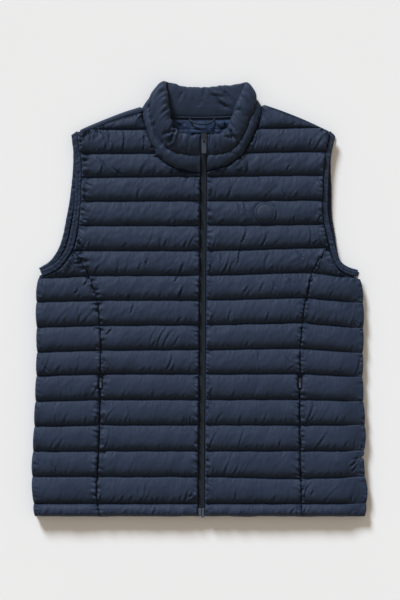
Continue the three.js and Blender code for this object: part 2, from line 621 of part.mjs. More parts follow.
// A zip slider: a tapered plate with a bridge over it. Its own frame has Y along the zip and Z out of it.
function slider(size) {
  const half = size.width / 2;
  const outline = shape([
    [-half * 0.72, -size.length / 2], [half * 0.72, -size.length / 2], [half * 0.8, -size.length * 0.1],
    [half, size.length * 0.25], [half * 0.8, size.length / 2], [-half * 0.8, size.length / 2],
    [-half, size.length * 0.25], [-half * 0.8, -size.length * 0.1],
  ]);
  const base = new THREE.ExtrudeGeometry(outline, { depth: size.plate, bevelEnabled: false });
  const reach = size.window / 2 + size.wall;
  const roof = size.rise + size.wall;
  const shoulder = size.wall * 0.6;
  const side = shape([
    [-reach, -0.5], [reach, -0.5], [reach, roof - shoulder], [reach - shoulder, roof],
    [-reach + shoulder, roof], [-reach, roof - shoulder],
  ]);
  const edge = size.window / 2;
  side.holes.push(hole([[-edge, 0], [-edge, size.rise], [edge, size.rise], [edge, 0]]));
  const bridge = new THREE.ExtrudeGeometry(side, { depth: size.bridge, bevelEnabled: false });
  bridge.translate(0, 0, -size.bridge / 2);
  const upright = new THREE.Matrix4().makeBasis(
    new THREE.Vector3(0, 1, 0), new THREE.Vector3(0, 0, 1), new THREE.Vector3(1, 0, 0),
  );
  bridge.applyMatrix4(upright).translate(0, size.pivotY, size.plate);
  return joined(base, bridge);
}

// A pull tab, lying down along -Y from its cross bar at its own origin.
function pullTab(size) {
  const half = size.width / 2;
  const bar = size.bar / 2;
  const soft = size.width / 10;
  const outline = shape([
    [-half, -size.length + soft], [-half + soft, -size.length], [half - soft, -size.length],
    [half, -size.length + soft], [half, bar - soft / 2], [half - soft / 2, bar],
    [-half + soft / 2, bar], [-half, bar - soft / 2],
  ]);
  const eye = size.hole / 2;
  outline.holes.push(hole([[-eye, -bar], [eye, -bar], [eye, -size.eye], [-eye, -size.eye]]));
  const tab = new THREE.ExtrudeGeometry(outline, { depth: size.thick, bevelEnabled: false });
  return tab.translate(0, 0, -size.thick / 2);
}

const wasm = await Module();
wasm.setup();

function joined(first, second) {
  const [a, b] = [first, second].map((geometry) => {
    const bare = geometry.clone();
    bare.deleteAttribute("normal");
    bare.deleteAttribute("uv");
    const mesh = mergeVertices(bare, 1e-4);
    const vertProperties = mesh.getAttribute("position").array;
    const triVerts = new Uint32Array(mesh.index.array);
    return new wasm.Manifold(new wasm.Mesh({ numProp: 3, vertProperties, triVerts }));
  });
  const mesh = a.add(b).getMesh();
  const geometry = new THREE.BufferGeometry();
  geometry.setAttribute("position", new THREE.BufferAttribute(Float32Array.from(mesh.vertProperties), 3));
  geometry.setIndex(new THREE.BufferAttribute(Uint32Array.from(mesh.triVerts), 1));
  geometry.computeVertexNormals();
  return geometry;
}

// A round badge that follows the panel under it, ring by ring.
function badge(panel) {
  const ray = new THREE.Raycaster();
  const height = (x, y) => {
    ray.set(new THREE.Vector3(x, y, 100), new THREE.Vector3(0, 0, -1));
    return ray.intersectObject(panel)[0].point.z;
  };
  const highest = (x, y) => Math.max(...[-2.4, 0, 2.4].map((step) => height(x, y + step)));
  const sides = 20;
  const grid = BADGE.rings.map(({ radius, thick }) => {
    const points = [];
    for (let i = 0; i < sides; i++) {
      const a = (i * 2 * Math.PI) / sides;
      const x = BADGE.x + radius * Math.cos(a);
      const y = BADGE.y + radius * Math.sin(a);
      points.push(new THREE.Vector3(x, y, highest(x, y) + BADGE.clear + thick));
    }
    return points;
  });
  return rings(grid, ["x", "y"]);
}

// A narrow strip over the inside of the back neck seam.
function neckTape() {
  const rows = COLLAR.slice(10, 15).map((row) => new THREE.Vector3(row.base[0], row.base[1] + 0.8, 0));
  const curve = new THREE.CatmullRomCurve3(rows, false, "centripetal").getSpacedPoints(20);
  const { width, low, high, soft } = NECK_TAPE;
  return strip(curve, -1, [[0, low], [width, low], [width - soft, high], [soft, high]], ["y", "z"]);
}

// The loop hangs from the neck seam on to the lining.
function hangLoop() {
  const points = LOOP.path.map(([x, y]) => new THREE.Vector3(x, y, 0));
  const z = LINING_FLOOR + LINING_THICK + LAYER_GAP + LOOP.radius;
  const section = [];
  for (let i = 0; i < 8; i++) {
    const a = (i * Math.PI) / 4;
    section.push([LOOP.radius * Math.cos(a), z + LOOP.radius * Math.sin(a)]);
  }
  const curve = new THREE.CatmullRomCurve3(points, false, "centripetal").getSpacedPoints(20);
  return strip(curve, 1, section, ["x", "z"]);
}

// A small plate with softened edges, from its own underside up.
function plate(width, length, thick) {
  const w = width / 2 - 0.4;
  const l = length / 2 - 0.4;
  const outline = new THREE.Shape([
    new THREE.Vector2(-w, -l), new THREE.Vector2(w, -l), new THREE.Vector2(w, l), new THREE.Vector2(-w, l),
  ]);
  const bevel = { bevelEnabled: true, bevelSize: 0.4, bevelThickness: 0.4, bevelSegments: 1 };
  return new THREE.ExtrudeGeometry(outline, { depth: thick - 0.8, ...bevel }).translate(0, 0, 0.4);
}

const group = new THREE.Group();
const CLOTH = { color: 0x2b3547, roughness: 0.55, metalness: 0 };
const LINING = { color: 0x2c3350, roughness: 0.5, metalness: 0 };
const TRIM = { color: 0x232c3c, roughness: 0.7, metalness: 0 };
const TAPE = { color: 0x1a2029, roughness: 0.85, metalness: 0 };
const METAL = { color: 0x6a6c74, roughness: 0.35, metalness: 0.9 };

function add(name, geometry, look) {
  const mesh = new THREE.Mesh(geometry, new THREE.MeshStandardMaterial(look));
  mesh.name = name;
  group.add(mesh);
  return mesh;
}

function place(parent, name, geometry, look, x, y, z) {
  const mesh = new THREE.Mesh(geometry, new THREE.MeshStandardMaterial(look));
  mesh.name = name;
  mesh.position.set(x, y, z);
  parent.add(mesh);
}

add("back", backPanel(), CLOTH);
add("back_lining", lining(), LINING);

for (const half of [RIGHT, LEFT]) {
  add(`front_${half.name}`, flatInside(frontPanel(half), FRONT_FLOOR), CLOTH);
  add(`side_front_${half.name}`, flatInside(sidePanel(half), FRONT_FLOOR), CLOTH);
  const over = roundedSection(BINDING_WIDTH, BINDING_FLOOR, BINDING_FLOOR + BINDING_THICK);
  const front = strip(path(half, half.armholeFront, ARMHOLE_STEPS + 4), -half.sign, over, ["x", "z"]);
  add(`armhole_binding_front_${half.name}`, front, TRIM);
  const under = roundedSection(BINDING_WIDTH, 0, BACK_BINDING);
  const back = strip(path(half, half.armholeBack, ARMHOLE_STEPS), -half.sign, under, ["x", "z"]);
  add(`armhole_binding_back_${half.name}`, back, TRIM);
  const high = TAPE_RISE + TAPE_THICK;
  const section = [[ZIP_SLIT, TAPE_RISE], [ZIP_HALF, TAPE_RISE], [ZIP_HALF, high], [ZIP_SLIT, high]];
  const tape = strip(zipPath(HEM_Y, ZIP_TOP_Y, ZIP_STEP), -half.sign, section, ["x", "z"]);
  add(`zip_tape_${half.name}`, tape, TAPE);
}

add("collar", collar(), CLOTH);
add("neck_tape", neckTape(), TRIM);
add("hang_loop", hangLoop(), TRIM);
add("badge", badge(group.getObjectByName("front_left")), TRIM);

const sliderPlace = new THREE.Group();
sliderPlace.position.set(zipX(SLIDER.y), SLIDER.y, along(ZIP, "y", SLIDER.y, "z") + SLIDER.lift);
sliderPlace.rotation.x = SLIDER.lean;
group.add(sliderPlace);
place(sliderPlace, "zip_slider", slider(SLIDER), METAL, 0, 0, 0);
place(sliderPlace, "zip_pull", pullTab(PULL), METAL, 0, SLIDER.pivotY, SLIDER.plate + SLIDER.rise / 2);
const { y: endY, z: endZ, offset, pinDrop } = ZIP_END;
const zipBox = plate(ZIP_END.boxWidth, ZIP_END.length, ZIP_END.thick);
const zipPin = plate(ZIP_END.pinWidth, ZIP_END.length + 2 * pinDrop, ZIP_END.thick);
place(group, "zip_box", zipBox, METAL, zipX(endY) - offset, endY, endZ);
place(group, "zip_pin", zipPin, METAL, zipX(endY) + offset, endY - pinDrop, endZ);

for (const half of [RIGHT, LEFT]) {
  const princess = path(half, half.princess, 80);
  const line = [];
  for (let i = 0; i <= 16; i++) {
    const y = lerp(POCKET_TOP - POCKET_END, POCKET_BOTTOM + POCKET_END, i / 16);
    line.push(new THREE.Vector3(crossing(princess, y) - POCKET_HALF, y, FRONT_FLOOR));
  }
  const wide = 2 * POCKET_HALF;
  const section = [[0, 0.2], [wide, 0.2], [wide, 0.2 + TAPE_THICK], [0, 0.2 + TAPE_THICK]];
  add(`pocket_tape_${half.name}`, strip(line, 1, section, ["x", "z"]), TAPE);
  const at = new THREE.Group();
  at.position.set(crossing(princess, POCKET_SLIDER.y), POCKET_SLIDER.y, FRONT_FLOOR + POCKET_SLIDER.lift);
  group.add(at);
  place(at, `pocket_slider_${half.name}`, slider(POCKET_SLIDER), METAL, 0, 0, 0);
  const lift = POCKET_SLIDER.plate + POCKET_SLIDER.rise / 2;
  place(at, `pocket_pull_${half.name}`, pullTab(POCKET_PULL), METAL, 0, POCKET_SLIDER.pivotY, lift);
}

export default group;
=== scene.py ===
import bpy
import numpy as np
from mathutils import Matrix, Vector, noise


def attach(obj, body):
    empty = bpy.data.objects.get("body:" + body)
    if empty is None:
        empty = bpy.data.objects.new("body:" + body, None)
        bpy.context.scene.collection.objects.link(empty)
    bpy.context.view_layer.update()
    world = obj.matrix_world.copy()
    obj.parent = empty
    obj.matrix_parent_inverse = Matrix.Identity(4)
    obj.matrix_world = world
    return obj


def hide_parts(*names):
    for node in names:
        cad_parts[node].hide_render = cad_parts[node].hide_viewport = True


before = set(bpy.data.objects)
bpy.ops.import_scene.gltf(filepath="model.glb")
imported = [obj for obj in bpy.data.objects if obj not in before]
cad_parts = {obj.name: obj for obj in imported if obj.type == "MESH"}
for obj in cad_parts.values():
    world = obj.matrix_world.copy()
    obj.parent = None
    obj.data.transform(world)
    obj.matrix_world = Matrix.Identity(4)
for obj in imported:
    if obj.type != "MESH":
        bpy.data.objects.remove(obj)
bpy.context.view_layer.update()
scene = bpy.context.scene


# The surface, the light and the camera. The vest lies on a plain pale table, lit by one soft window beyond
# its right shoulder, with a warm room all round, and it is seen from straight above.
class Number:
    """A shader socket that can be used in sums: each operation adds a Math node."""

    def __init__(self, look, socket):
        self.look = look
        self.socket = socket

    def math(self, operation, *values):
        return self.look.node("ShaderNodeMath", {"operation": operation}, dict(enumerate([self, *values])))

    def __add__(self, other):
        return self.math("ADD", other)

    def __mul__(self, other):
        return self.math("MULTIPLY", other)

    def wave(self):
        return self.math("SINE") * 0.5 + 0.5

    __radd__ = __add__
    __rmul__ = __mul__


class Look:
    """A material and its nodes. Constants are set on the shader's own sockets."""

    def __init__(self, name, **sockets):
        self.material = bpy.data.materials.new(name)
        self.material.use_nodes = True
        self.tree = self.material.node_tree
        self.shader = self.tree.nodes["Principled BSDF"]
        self.set(**sockets)
        self.place = self.node("ShaderNodeTexCoord", {}, {}, "Object")

    def feed(self, target, inputs):
        for key, value in inputs.items():
            socket = target.inputs[key]
            if isinstance(value, Number):
                self.tree.links.new(value.socket, socket)
            else:
                socket.default_value = value

    def node(self, kind, settings, inputs, output=0):
        made = self.tree.nodes.new(kind)
        for key, value in settings.items():
            if key == "stops":
                ramp = made.color_ramp.elements
                while len(ramp) < len(value):
                    ramp.new(0.5)
                for element, (position, colour) in zip(ramp, value):
                    element.position = position
                    element.color = (*colour, 1)
            else:
                setattr(made, key, value)
        self.feed(made, inputs)
        return Number(self, made.outputs[output])

    def stretched(self, scale, turn=0.0):
        inputs = {"Vector": self.place, "Rotation": (0, 0, turn), "Scale": scale}
        return self.node("ShaderNodeMapping", {}, inputs)

    def noise(self, scale, detail=2.0, roughness=0.5, vector=None):
        inputs = {"Vector": vector or self.place, "Scale": scale, "Detail": detail, "Roughness": roughness}
        return self.node("ShaderNodeTexNoise", {}, inputs)

    def mottle(self, tone, low, high):
        """Sets the base colour, which goes from low to high as the tone rises."""
        stops = ((0.3, low), (0.7, high))
        self.set(Base_Color=self.node("ShaderNodeValToRGB", {"stops": stops}, {"Fac": tone}))

    def raise_by(self, height, distance, strength=1.0):
        inputs = {"Height": height, "Distance": distance, "Strength": strength}
        self.feed(self.shader, {"Normal": self.node("ShaderNodeBump", {}, inputs)})

    def set(self, **sockets):
        self.feed(self.shader, {key.replace("_", " "): value for key, value in sockets.items()})
        return self.material


def plain_mesh(name, points, faces, material):
    mesh = bpy.data.meshes.new(name)
    mesh.from_pydata(np.asarray(points, float).tolist(), [], faces)
    mesh.materials.append(material)
    mesh.polygons.foreach_set("use_smooth", [True] * len(mesh.polygons))
    mesh.update()
    made = bpy.data.objects.new(name, mesh)
    scene.collection.objects.link(made)
    return made


table_look = Look("table_paper", Roughness=0.9, Specular_IOR_Level=0.2)
table_look.mottle(table_look.noise(3.0, 3), (0.86, 0.86, 0.86), (0.87, 0.87, 0.87))
TABLE_HALF = 4.0
TABLE_LEVEL = -0.0004
corners = [(x * TABLE_HALF, y * TABLE_HALF, TABLE_LEVEL) for x, y in ((-1, -1), (1, -1), (1, 1), (-1, 1))]
plain_mesh("table", corners, [(0, 1, 2, 3)], table_look.material)

CAMERA_HEIGHT = 3.0
FRAME_HEIGHT = 1.044  # what the picture's height shows, at FRAME_LEVEL above the table
FRAME_LEVEL = 0.012
SENSOR = 24
camera = bpy.data.objects.new("camera", bpy.data.cameras.new("camera"))
camera.data.sensor_fit = "VERTICAL"
camera.data.sensor_height = SENSOR
camera.data.lens = SENSOR * (CAMERA_HEIGHT - FRAME_LEVEL) / FRAME_HEIGHT
camera.location = (0.00087, -0.00174, CAMERA_HEIGHT)
scene.collection.objects.link(camera)
scene.camera = camera

lamp = bpy.data.lights.new("window", "SUN")
lamp.angle = 0.26
lamp.energy = 4.5
lamp.color = (0.835, 0.908, 1.0)
window = bpy.data.objects.new("window", lamp)
window.rotation_euler = Vector((0.44, -1.0, -0.565)).to_track_quat("-Z", "Y").to_euler()
scene.collection.objects.link(window)

room = bpy.data.worlds.new("room")
room.use_nodes = True
glow = room.node_tree.nodes["Background"].inputs
glow["Color"].default_value = (1.0, 0.88, 0.73, 1)
glow["Strength"].default_value = 0.42
scene.world = room
scene.view_settings.view_transform = "Standard"


# The back panel: two layers of thin nylon with a light filling, quilted in level channels. It lies on the
# table, which presses its channels flat, its sides roll up to the side seams, and at each shoulder a strip
# of it is folded forward to the seam.
BACK_THICK = 0.009
YOKE_TOP = 0.0133  # where the folded strip shows, and where the front covers it
COVERED_YOKE_TOP = 0.0102
SCALLOP = 0.0024  # how far a stitched line pulls the side edge in
BINDING = 0.0105
TOP_LINE = 0.253  # above this stitched line, rows fan out to the shoulders and the neck

# Height of each stitched line at the zip, then how far it lies above that at the princess seam and the side
# edge: wearer's right, then left. Millimetres.
STITCHED = np.array([
    (336, 0, 0, 0, 0), (295, 0, 0, 3, 3), (253, 0, 0, 3, 3), (213, -2, -2, 2, 2), (170.5, -1, -1, 1, 0),
    (127.5, 0, 0, 2, 0), (84, 0, 0, 5, 0), (41.5, -1, -6, 4.5, -6.5), (-2, 0, -3, 4, -5),
    (-45, -1, -4.5, 3.5, -6), (-88, -1, -4.5, 2, -6), (-130.5, 0, -3, 0.5, -5), (-175, 0, -3, 0.5, -3),
    (-219, 0, -2.5, 0, 0), (-264, 0, -1, 0, 0), (-308.5, 0, 0, -4, 0), (-356, 0, 0, 0, 0), (-378, 0, 0, 0, 0),
]) / 1000
LAST_LINE = len(STITCHED) - 1

# Outlines of each half as (distance from the middle, height), in millimetres, from the top down.
RIGHT = {
    "sign": -1,
    "side": [(281, 46), (285, 0), (284, -90), (288.5, -220), (292.5, -312), (288, -378)],
    "princess": [(218, 84), (194, 44), (178, 0), (173, -46), (171.5, -90), (174.5, -250), (178, -350),
                 (172, -378)],
    "arm_front": [(223, 285), (219.6, 259), (215.2, 233), (216, 204), (217, 172), (221.9, 129), (230.5, 91),
                  (240, 75), (254, 60), (277, 49)],
    "arm_back": [(223, 285), (220.5, 261), (220.6, 232), (224.6, 186), (231, 147), (244, 92), (261, 66),
                 (280, 54)],
    "fold": [(104, 334), (133.6, 324.5), (169.6, 310.6), (202.7, 296.5), (214, 290.5)],
    "shoulder": [(103, 324), (136.6, 315), (180, 298.4), (203, 290), (214, 285.5)],
}
LEFT = {
    "sign": 1,
    "side": [(279.5, 46), (285.5, 0), (285, -150), (289.5, -240), (286.5, -284), (292.5, -335), (289, -378)],
    "princess": [(221, 88), (206, 66), (195, 44), (185, 0), (178.6, -46), (175.4, -88), (174.8, -250),
                 (178, -378)],
    "arm_front": [(237, 284), (230, 254), (227.4, 236), (224.8, 188), (224.8, 148), (231.9, 113), (240.5, 80),
                  (248, 62), (259, 54), (278, 48.5)],
    "arm_back": [(237, 284), (229.5, 246), (230.6, 188), (231.2, 148.5), (236.3, 113), (246, 67), (258, 57),
                 (277, 50.5)],
    "fold": [(113, 338), (145, 327), (183, 311.8), (221.3, 294.1), (226.5, 291.5)],
    "shoulder": [(112, 332), (144, 321.5), (182, 306.5), (220, 289), (226.5, 286)],
}
NECK = [(-95, 330), (-93.5, 329.8), (-72.2, 322.2), (-44.4, 317.1), (7, 315.6), (56.6, 317.6), (84.4, 323.3),
        (102, 331.8), (104, 332)]


def smooth(t):
    t = np.clip(t, 0, 1)
    return t * t * (3 - 2 * t)


def bell(x, width):
    return np.exp(-((x / width) ** 2))


def distances(path):
    """How far along a path each of its points lies."""
    return np.concatenate([[0], np.cumsum(np.linalg.norm(np.diff(path, axis=0), axis=1))])


def direction(path):
    way = np.gradient(path, axis=0)
    return way / np.linalg.norm(way, axis=1)[:, None]


def curve(knots, count):
    """Evenly spaced points on a smooth curve through the knots, which are in millimetres."""
    knots = np.array(knots, float) / 1000
    knots = np.vstack([2 * knots[0] - knots[1], knots, 2 * knots[-1] - knots[-2]])
    steps = np.linalg.norm(np.diff(knots, axis=0), axis=1) ** 0.5
    pieces = []
    for i in range(1, len(knots) - 2):
        a, b, c, d = knots[i - 1 : i + 3]
        before, here, after = steps[i - 1 : i + 2]
        start = ((b - a) / before - (c - a) / (before + here) + (c - b) / here) * here
        end = ((c - b) / here - (d - b) / (here + after) + (d - c) / after) * here
        t = np.linspace(0, 1, 60, endpoint=False)[:, None]
        hermite = b * (1 + 2 * t) * (1 - t) ** 2 + start * t * (1 - t) ** 2
        pieces.append(hermite + c * t * t * (3 - 2 * t) + end * t * t * (t - 1))
    dense = np.vstack([*pieces, knots[-2:-1]])
    run = distances(dense)
    even = np.linspace(0, run[-1], count)
    return np.stack([np.interp(even, run, dense[:, k]) for k in range(dense.shape[1])], axis=1)


def outline(half, edge, count=400):
    points = curve(half[edge], count)
    points[:, 0] *= half["sign"]
    return points


def moved(points, distance):
    """A flat path moved to the left of its own direction."""
    way = direction(points[:, :2])
    out = points.copy()
    out[:, :2] += np.stack([-way[:, 1], way[:, 0]], axis=1) * distance
    return out


def crossing(points, y):
    """Where a path that runs steadily in y has each height."""
    order = np.argsort(points[:, 1])
    return np.interp(y, points[order, 1], points[order, 0])


# Where each stitched line meets the princess seam and the side edge, on each half.
MEETINGS = [
    [abs(crossing(outline(half, edge), STITCHED[:, 0])) for edge in ("princess", "side")]
    for half in (RIGHT, LEFT)
]


def stitched_heights(x):
    """Height of every stitched line above the points x, one row a line."""
    x = np.asarray(x)
    shape = (len(STITCHED),) + (1,) * x.ndim
    both = []
    for half, (seam_x, side_x), column in zip((RIGHT, LEFT), MEETINGS, (1, 3)):
        y, seam, side = (STITCHED[:, k].reshape(shape) for k in (0, column, column + 1))
        seam_x, side_x = seam_x.reshape(shape), side_x.reshape(shape)
        away = half["sign"] * x[None]
        near = y + seam * smooth(away / seam_x)
        far = y + seam + (side - seam) * np.clip((away - seam_x) / (side_x - seam_x), 0, 1)
        both.append(np.where(away < seam_x, near, far))
    return np.where(x[None] < 0, both[0], both[1])


def line_height(x, line):
    """Height of a stitched line at x. Fractions of a line lie inside its channel."""
    heights = stitched_heights(x)
    low = np.minimum(LAST_LINE - 1, np.floor(line)).astype(int)
    low = np.broadcast_to(low, np.shape(x))
    upper = np.take_along_axis(heights, low[None], 0)[0]
    lower = np.take_along_axis(heights, low[None] + 1, 0)[0]
    return upper + (lower - upper) * (line - low)


def line_at(x, y):
    """The stitched line, with its fraction, at each point."""
    heights = stitched_heights(x)
    low = np.clip((heights > y).sum(0) - 1, 0, LAST_LINE - 1)
    upper = np.take_along_axis(heights, low[None], 0)[0]
    lower = np.take_along_axis(heights, low[None] + 1, 0)[0]
    return low + np.clip((upper - y) / (upper - lower), 0, 1)


def notch(y):
    """A deep fold that bites into the wearer's left side, low down."""
    height, half_width, depth = -0.2757, 0.0022, 0.0058
    return depth * bell(y - height, half_width)


def puff(line, power=0.5):
    share = line - np.floor(line)
    return (4 * share * (1 - share)) ** power


def scatter(x, y, scale, seed=0.0):
    """Smooth noise from -1 to 1, the same on every run."""
    flat = [noise.noise(Vector((a, b, seed))) for a, b in zip(np.ravel(x * scale), np.ravel(y * scale))]
    return np.reshape(flat, np.shape(x))


def shell_look(name, low, high, sheen):
    """Thin nylon: a fine plain weave with a soft gloss, a little lighter and darker in patches."""
    look = Look(name, Roughness=0.5, Specular_IOR_Level=0.14, Sheen_Weight=sheen, Sheen_Roughness=0.4)
    x, y, z = (look.node("ShaderNodeSeparateXYZ", {}, {"Vector": look.place}, k) for k in range(3))
    weave = (x * 5200).wave() * ((y + z) * 5200).wave()
    cloud = look.noise(26, 4, 0.6)
    crease = look.noise(1.0, 3, 0.6, look.stretched((210, 62, 62), 0.35))
    fine = look.noise(900, 2, 0.7)
    look.mottle(cloud * 0.7 + fine * 0.3, low, high)
    look.raise_by(crease * 0.0017 + weave * 0.00005 + fine * 0.00006, 1.0, 0.5)
    return look.set(Roughness=cloud * 0.14 + fine * 0.1 + 0.46)


shell = shell_look("shell_nylon", (0.0148, 0.0238, 0.0466), (0.0217, 0.033, 0.0609), 0.04)


def place_on(piece, slot_name, *nodes, body="root"):
    """The piece rides on its body and stands for its solids, which are hidden."""
    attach(piece, body)
    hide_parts(*nodes)


def tube(name, sections, material):
    """A body from closed sections of equal length, joined in order, with its ends capped."""
    sections = np.asarray(sections, float)
    count, size = sections.shape[:2]
    faces = []
    for r in range(count - 1):
        for k in range(size):
            n = (k + 1) % size
            faces.append((r * size + k, r * size + n, (r + 1) * size + n, (r + 1) * size + k))
    faces.append(tuple(range(size - 1, -1, -1)))
    faces.append(tuple((count - 1) * size + k for k in range(size)))
    return turned_out(plain_mesh(name, sections.reshape(-1, 3), faces, material))


def turned_out(piece):
    """Turns a closed mesh right side out."""
    mesh = piece.data
    mesh.calc_loop_triangles()
    points = np.array([v.co for v in mesh.vertices])
    a, b, c = points[np.array([t.vertices for t in mesh.loop_triangles])].transpose(1, 0, 2)
    if np.einsum("ij,ij->i", a, np.cross(b, c)).sum() < 0:
        mesh.flip_normals()
    return piece


def top_edge(x, key, neck):
    """Height of the back's top edge above x: the folded or the sewn shoulder, and the neck between them."""
    right = outline(RIGHT, key)[::-1]
    left = outline(LEFT, key)
    line = np.vstack([right, neck, left])
    return np.interp(x, line[:, 0], line[:, 1])


def back_panel():
    neck = curve(NECK, 200)
    # Rows from the hem to the shoulders follow the stitched lines as far as the armhole's top channel.
    lines = np.concatenate([np.arange(LAST_LINE, 2, -1 / 12), [2.0]])
    rise = np.linspace(0, 1, 26)[1:]  # of the rows above them
    ends = []
    for half in (RIGHT, LEFT):
        sign = half["sign"]
        arm = outline(half, "arm_back")
        bound = moved(arm, -sign * (BINDING + 0.0003))
        y = line_height(np.full(len(lines), sign * 0.26), lines)
        edge = crossing(outline(half, "side"), y) - sign * SCALLOP * (1 - puff(lines, 0.55))
        edge = edge - (notch(y) if sign > 0 else 0)
        bounded = sign * np.minimum(abs(edge), abs(crossing(bound, y)))
        below = np.where(y > arm[-1, 1] - BINDING, bounded, edge)
        tip = outline(half, "fold")[-1, 1]
        ends.append(np.concatenate([below, crossing(bound, TOP_LINE + (tip - TOP_LINE) * rise)]))
    right, left = ends
    across = np.linspace(0, 1, 170)
    base = right[:, None] + (left - right)[:, None] * across
    y = np.empty_like(base)
    grown = len(lines)
    y[:grown] = line_height(base[:grown], lines[:, None])
    for r, share in enumerate(rise, grown):
        foot = np.interp(base[r], base[grown - 1], y[grown - 1])
        y[r] = foot * (1 - share) + top_edge(base[r], "fold", neck) * share
    line = line_at(base, y)
    inset = np.minimum(abs(base - right[:, None]), abs(base - left[:, None]))
    edge_y = y - y[0]
    relief = 0.0034 * (1 - puff(line, 0.42)) * smooth(inset / 0.012) * smooth(edge_y / 0.01)
    relief += 0.0009 * (1 + scatter(base, y, 55, 3.0)) * smooth(inset / 0.012) * (1 - puff(line, 0.6))
    under = np.stack([base, y, relief], axis=2)
    sections = []
    for r in range(len(base)):
        # Rolled sides, rounder low on the body where the side seam lifts them to the front.
        bulge = puff(lines[r], 0.5) if r < grown else 1.0
        low = r < grown and y[r, 0] < 0.03
        lip = 0.0103 if low else BACK_THICK
        roll = np.array([(0.0036, 0.0), (0.0012, 0.0013), (0.0, 0.0042), (0.0004, 0.0068), (0.0018, 0.0092),
                         (0.004, lip)])
        roll[:, 1] = np.minimum(roll[:, 1], lip)
        # Hem and shoulder ends close on themselves.
        start = smooth((r + 0.6) / 3)
        roll[:, 0] += 0.003 * (1 - bulge) * 0.3
        right_roll = [(right[r] + a, y[r, 0], z) for a, z in roll][::-1]
        left_roll = [(left[r] - a, y[r, -1], z) for a, z in roll]
        lower = under[r].copy()
        lower[:, 0] = np.interp(across, [0, 1], [right[r] + 0.0045, left[r] - 0.0045])
        upper_x = np.linspace(left[r] - 0.006, right[r] + 0.006, 28)
        upper = [(x, np.interp(x, base[r], y[r]), BACK_THICK) for x in upper_x]
        ring = np.array([*lower, *left_roll, *upper, *right_roll])
        ring[:, 2] = 0.0045 + (ring[:, 2] - 0.0045) * (0.35 + 0.65 * start)
        sections.append(ring)
    # The strip that is folded forward at each shoulder, and the square end at the neck.
    last = sections[-1]
    size = len(across)
    under_x = last[:size, 0]
    fold_y = top_edge(under_x, "fold", neck)
    seam_y = np.minimum(top_edge(under_x, "shoulder", neck), fold_y - 0.0006)
    strip = smooth((fold_y - seam_y - 0.001) / 0.004)
    covered = smooth(under_x / 0.02 - 0.5)
    crest = BACK_THICK + (YOKE_TOP + (COVERED_YOKE_TOP - YOKE_TOP) * covered - BACK_THICK) * strip
    inner_x, inner_z = last[size:, 0], last[size:, 2]
    inner_y = np.minimum(top_edge(inner_x, "shoulder", neck), top_edge(inner_x, "fold", neck) - 0.0006)
    inner_z = np.where(inner_z > 0.008, BACK_THICK - 0.0004, inner_z)
    for reach, height in ((0.0, 0.45), (0.1, 0.85), (0.3, 0.97), (0.6, 1.0), (0.88, 1.0), (0.94, 0.99),
                          (0.965, 0.97), (0.98, 0.93), (0.99, 0.85)):
        ring = last.copy()
        ring[:size, 1] = fold_y + 0.0008 * (1 - reach) + (seam_y - fold_y) * reach
        ring[:size, 2] = crest * height
        ring[size:, 1:] = np.column_stack([inner_y, inner_z])
        sections.append(ring)
    return tube("back_panel", sections, shell)


back = back_panel()
place_on(back, "shell_cloth", "back")


# The lining: a bluer nylon inside the back, quilted with the shell. It shows in the neck opening and as a
# sliver inside the armholes.
LINING_FLOOR = 0.0093
LINING_THICK = 0.0009
LINING_BEND = 0.25  # above this its rows stretch up to the neck, as rows would to LINING_SPAN more
LINING_SPAN = 0.06
lining_nylon = shell_look("lining_nylon", (0.0135, 0.0255, 0.058), (0.02, 0.036, 0.079), 0.04)


def lining():
    neck = curve(NECK, 200)
    across = np.linspace(-1, 1, 170)
    across = 0.5 + 0.5 * across * (0.4 + 0.6 * across**2)  # closer together in the neck
    upper = LINING_BEND + LINING_SPAN * np.linspace(0, 1, 64)
    levels = np.concatenate([np.arange(-0.3685, LINING_BEND, 0.0093), upper])
    grid = []
    for y in levels:
        limits = []
        for half in (RIGHT, LEFT):
            arm = outline(half, "arm_back")
            side = abs(crossing(outline(half, "side"), y))
            bound = abs(crossing(arm, y)) if y > arm[-1, 1] - 0.012 else side
            inset = 0.0155 if y > arm[-1, 1] - 0.03 else 0.0142
            limits.append(half["sign"] * (min(side, bound) - inset))
        x = limits[0] + (limits[1] - limits[0]) * across
        if y > LINING_BEND:
            share = (y - LINING_BEND) / LINING_SPAN
            top = np.minimum(top_edge(x, "shoulder", neck) - 0.005, top_edge(x, "fold", neck) - 0.0045)
            y = LINING_BEND + (top - LINING_BEND) * share
        grid.append(np.stack([x, np.broadcast_to(y, x.shape)], axis=1))
    grid = np.array(grid)
    x, y = grid[..., 0], grid[..., 1]
    line = line_at(x, y)
    in_neck = smooth((y - 0.281) / 0.012) * smooth((0.098 - abs(x - 0.004)) / 0.014)
    edge = np.minimum((x - x[:, :1]) / 0.006, (x[:, -1:] - x) / 0.006)
    edge = np.minimum(edge, (y[-1:] - y) / 0.004).clip(0, 1)
    under_loop = np.exp(-(np.hypot((x - 0.0045) / 0.029, (y - 0.31) / 0.0135) ** 4))
    folds = 3.4 * abs(scatter(x + 0.3 * y, y * 0.45, 58, 5.0)) + 0.35 * scatter(x, y, 150, 5.5) + 0.05
    folds = np.clip(folds, 0, 1) * (1 - 0.85 * under_loop)
    rise = 0.0003 + 0.0086 * puff(line, 0.4) * folds * in_neck * edge
    low = np.stack([x, y, np.full_like(x, LINING_FLOOR + 0.0001)], axis=2)
    high = low + np.stack([0 * x, 0 * x, LINING_THICK * 0.8 + np.maximum(rise, 0)], axis=2)
    sections = [np.vstack([a, b[::-1]]) for a, b in zip(low, high)]
    return tube("back_lining_cloth", sections, lining_nylon)


back_lining = lining()
place_on(back_lining, "lining_cloth", "back_lining")


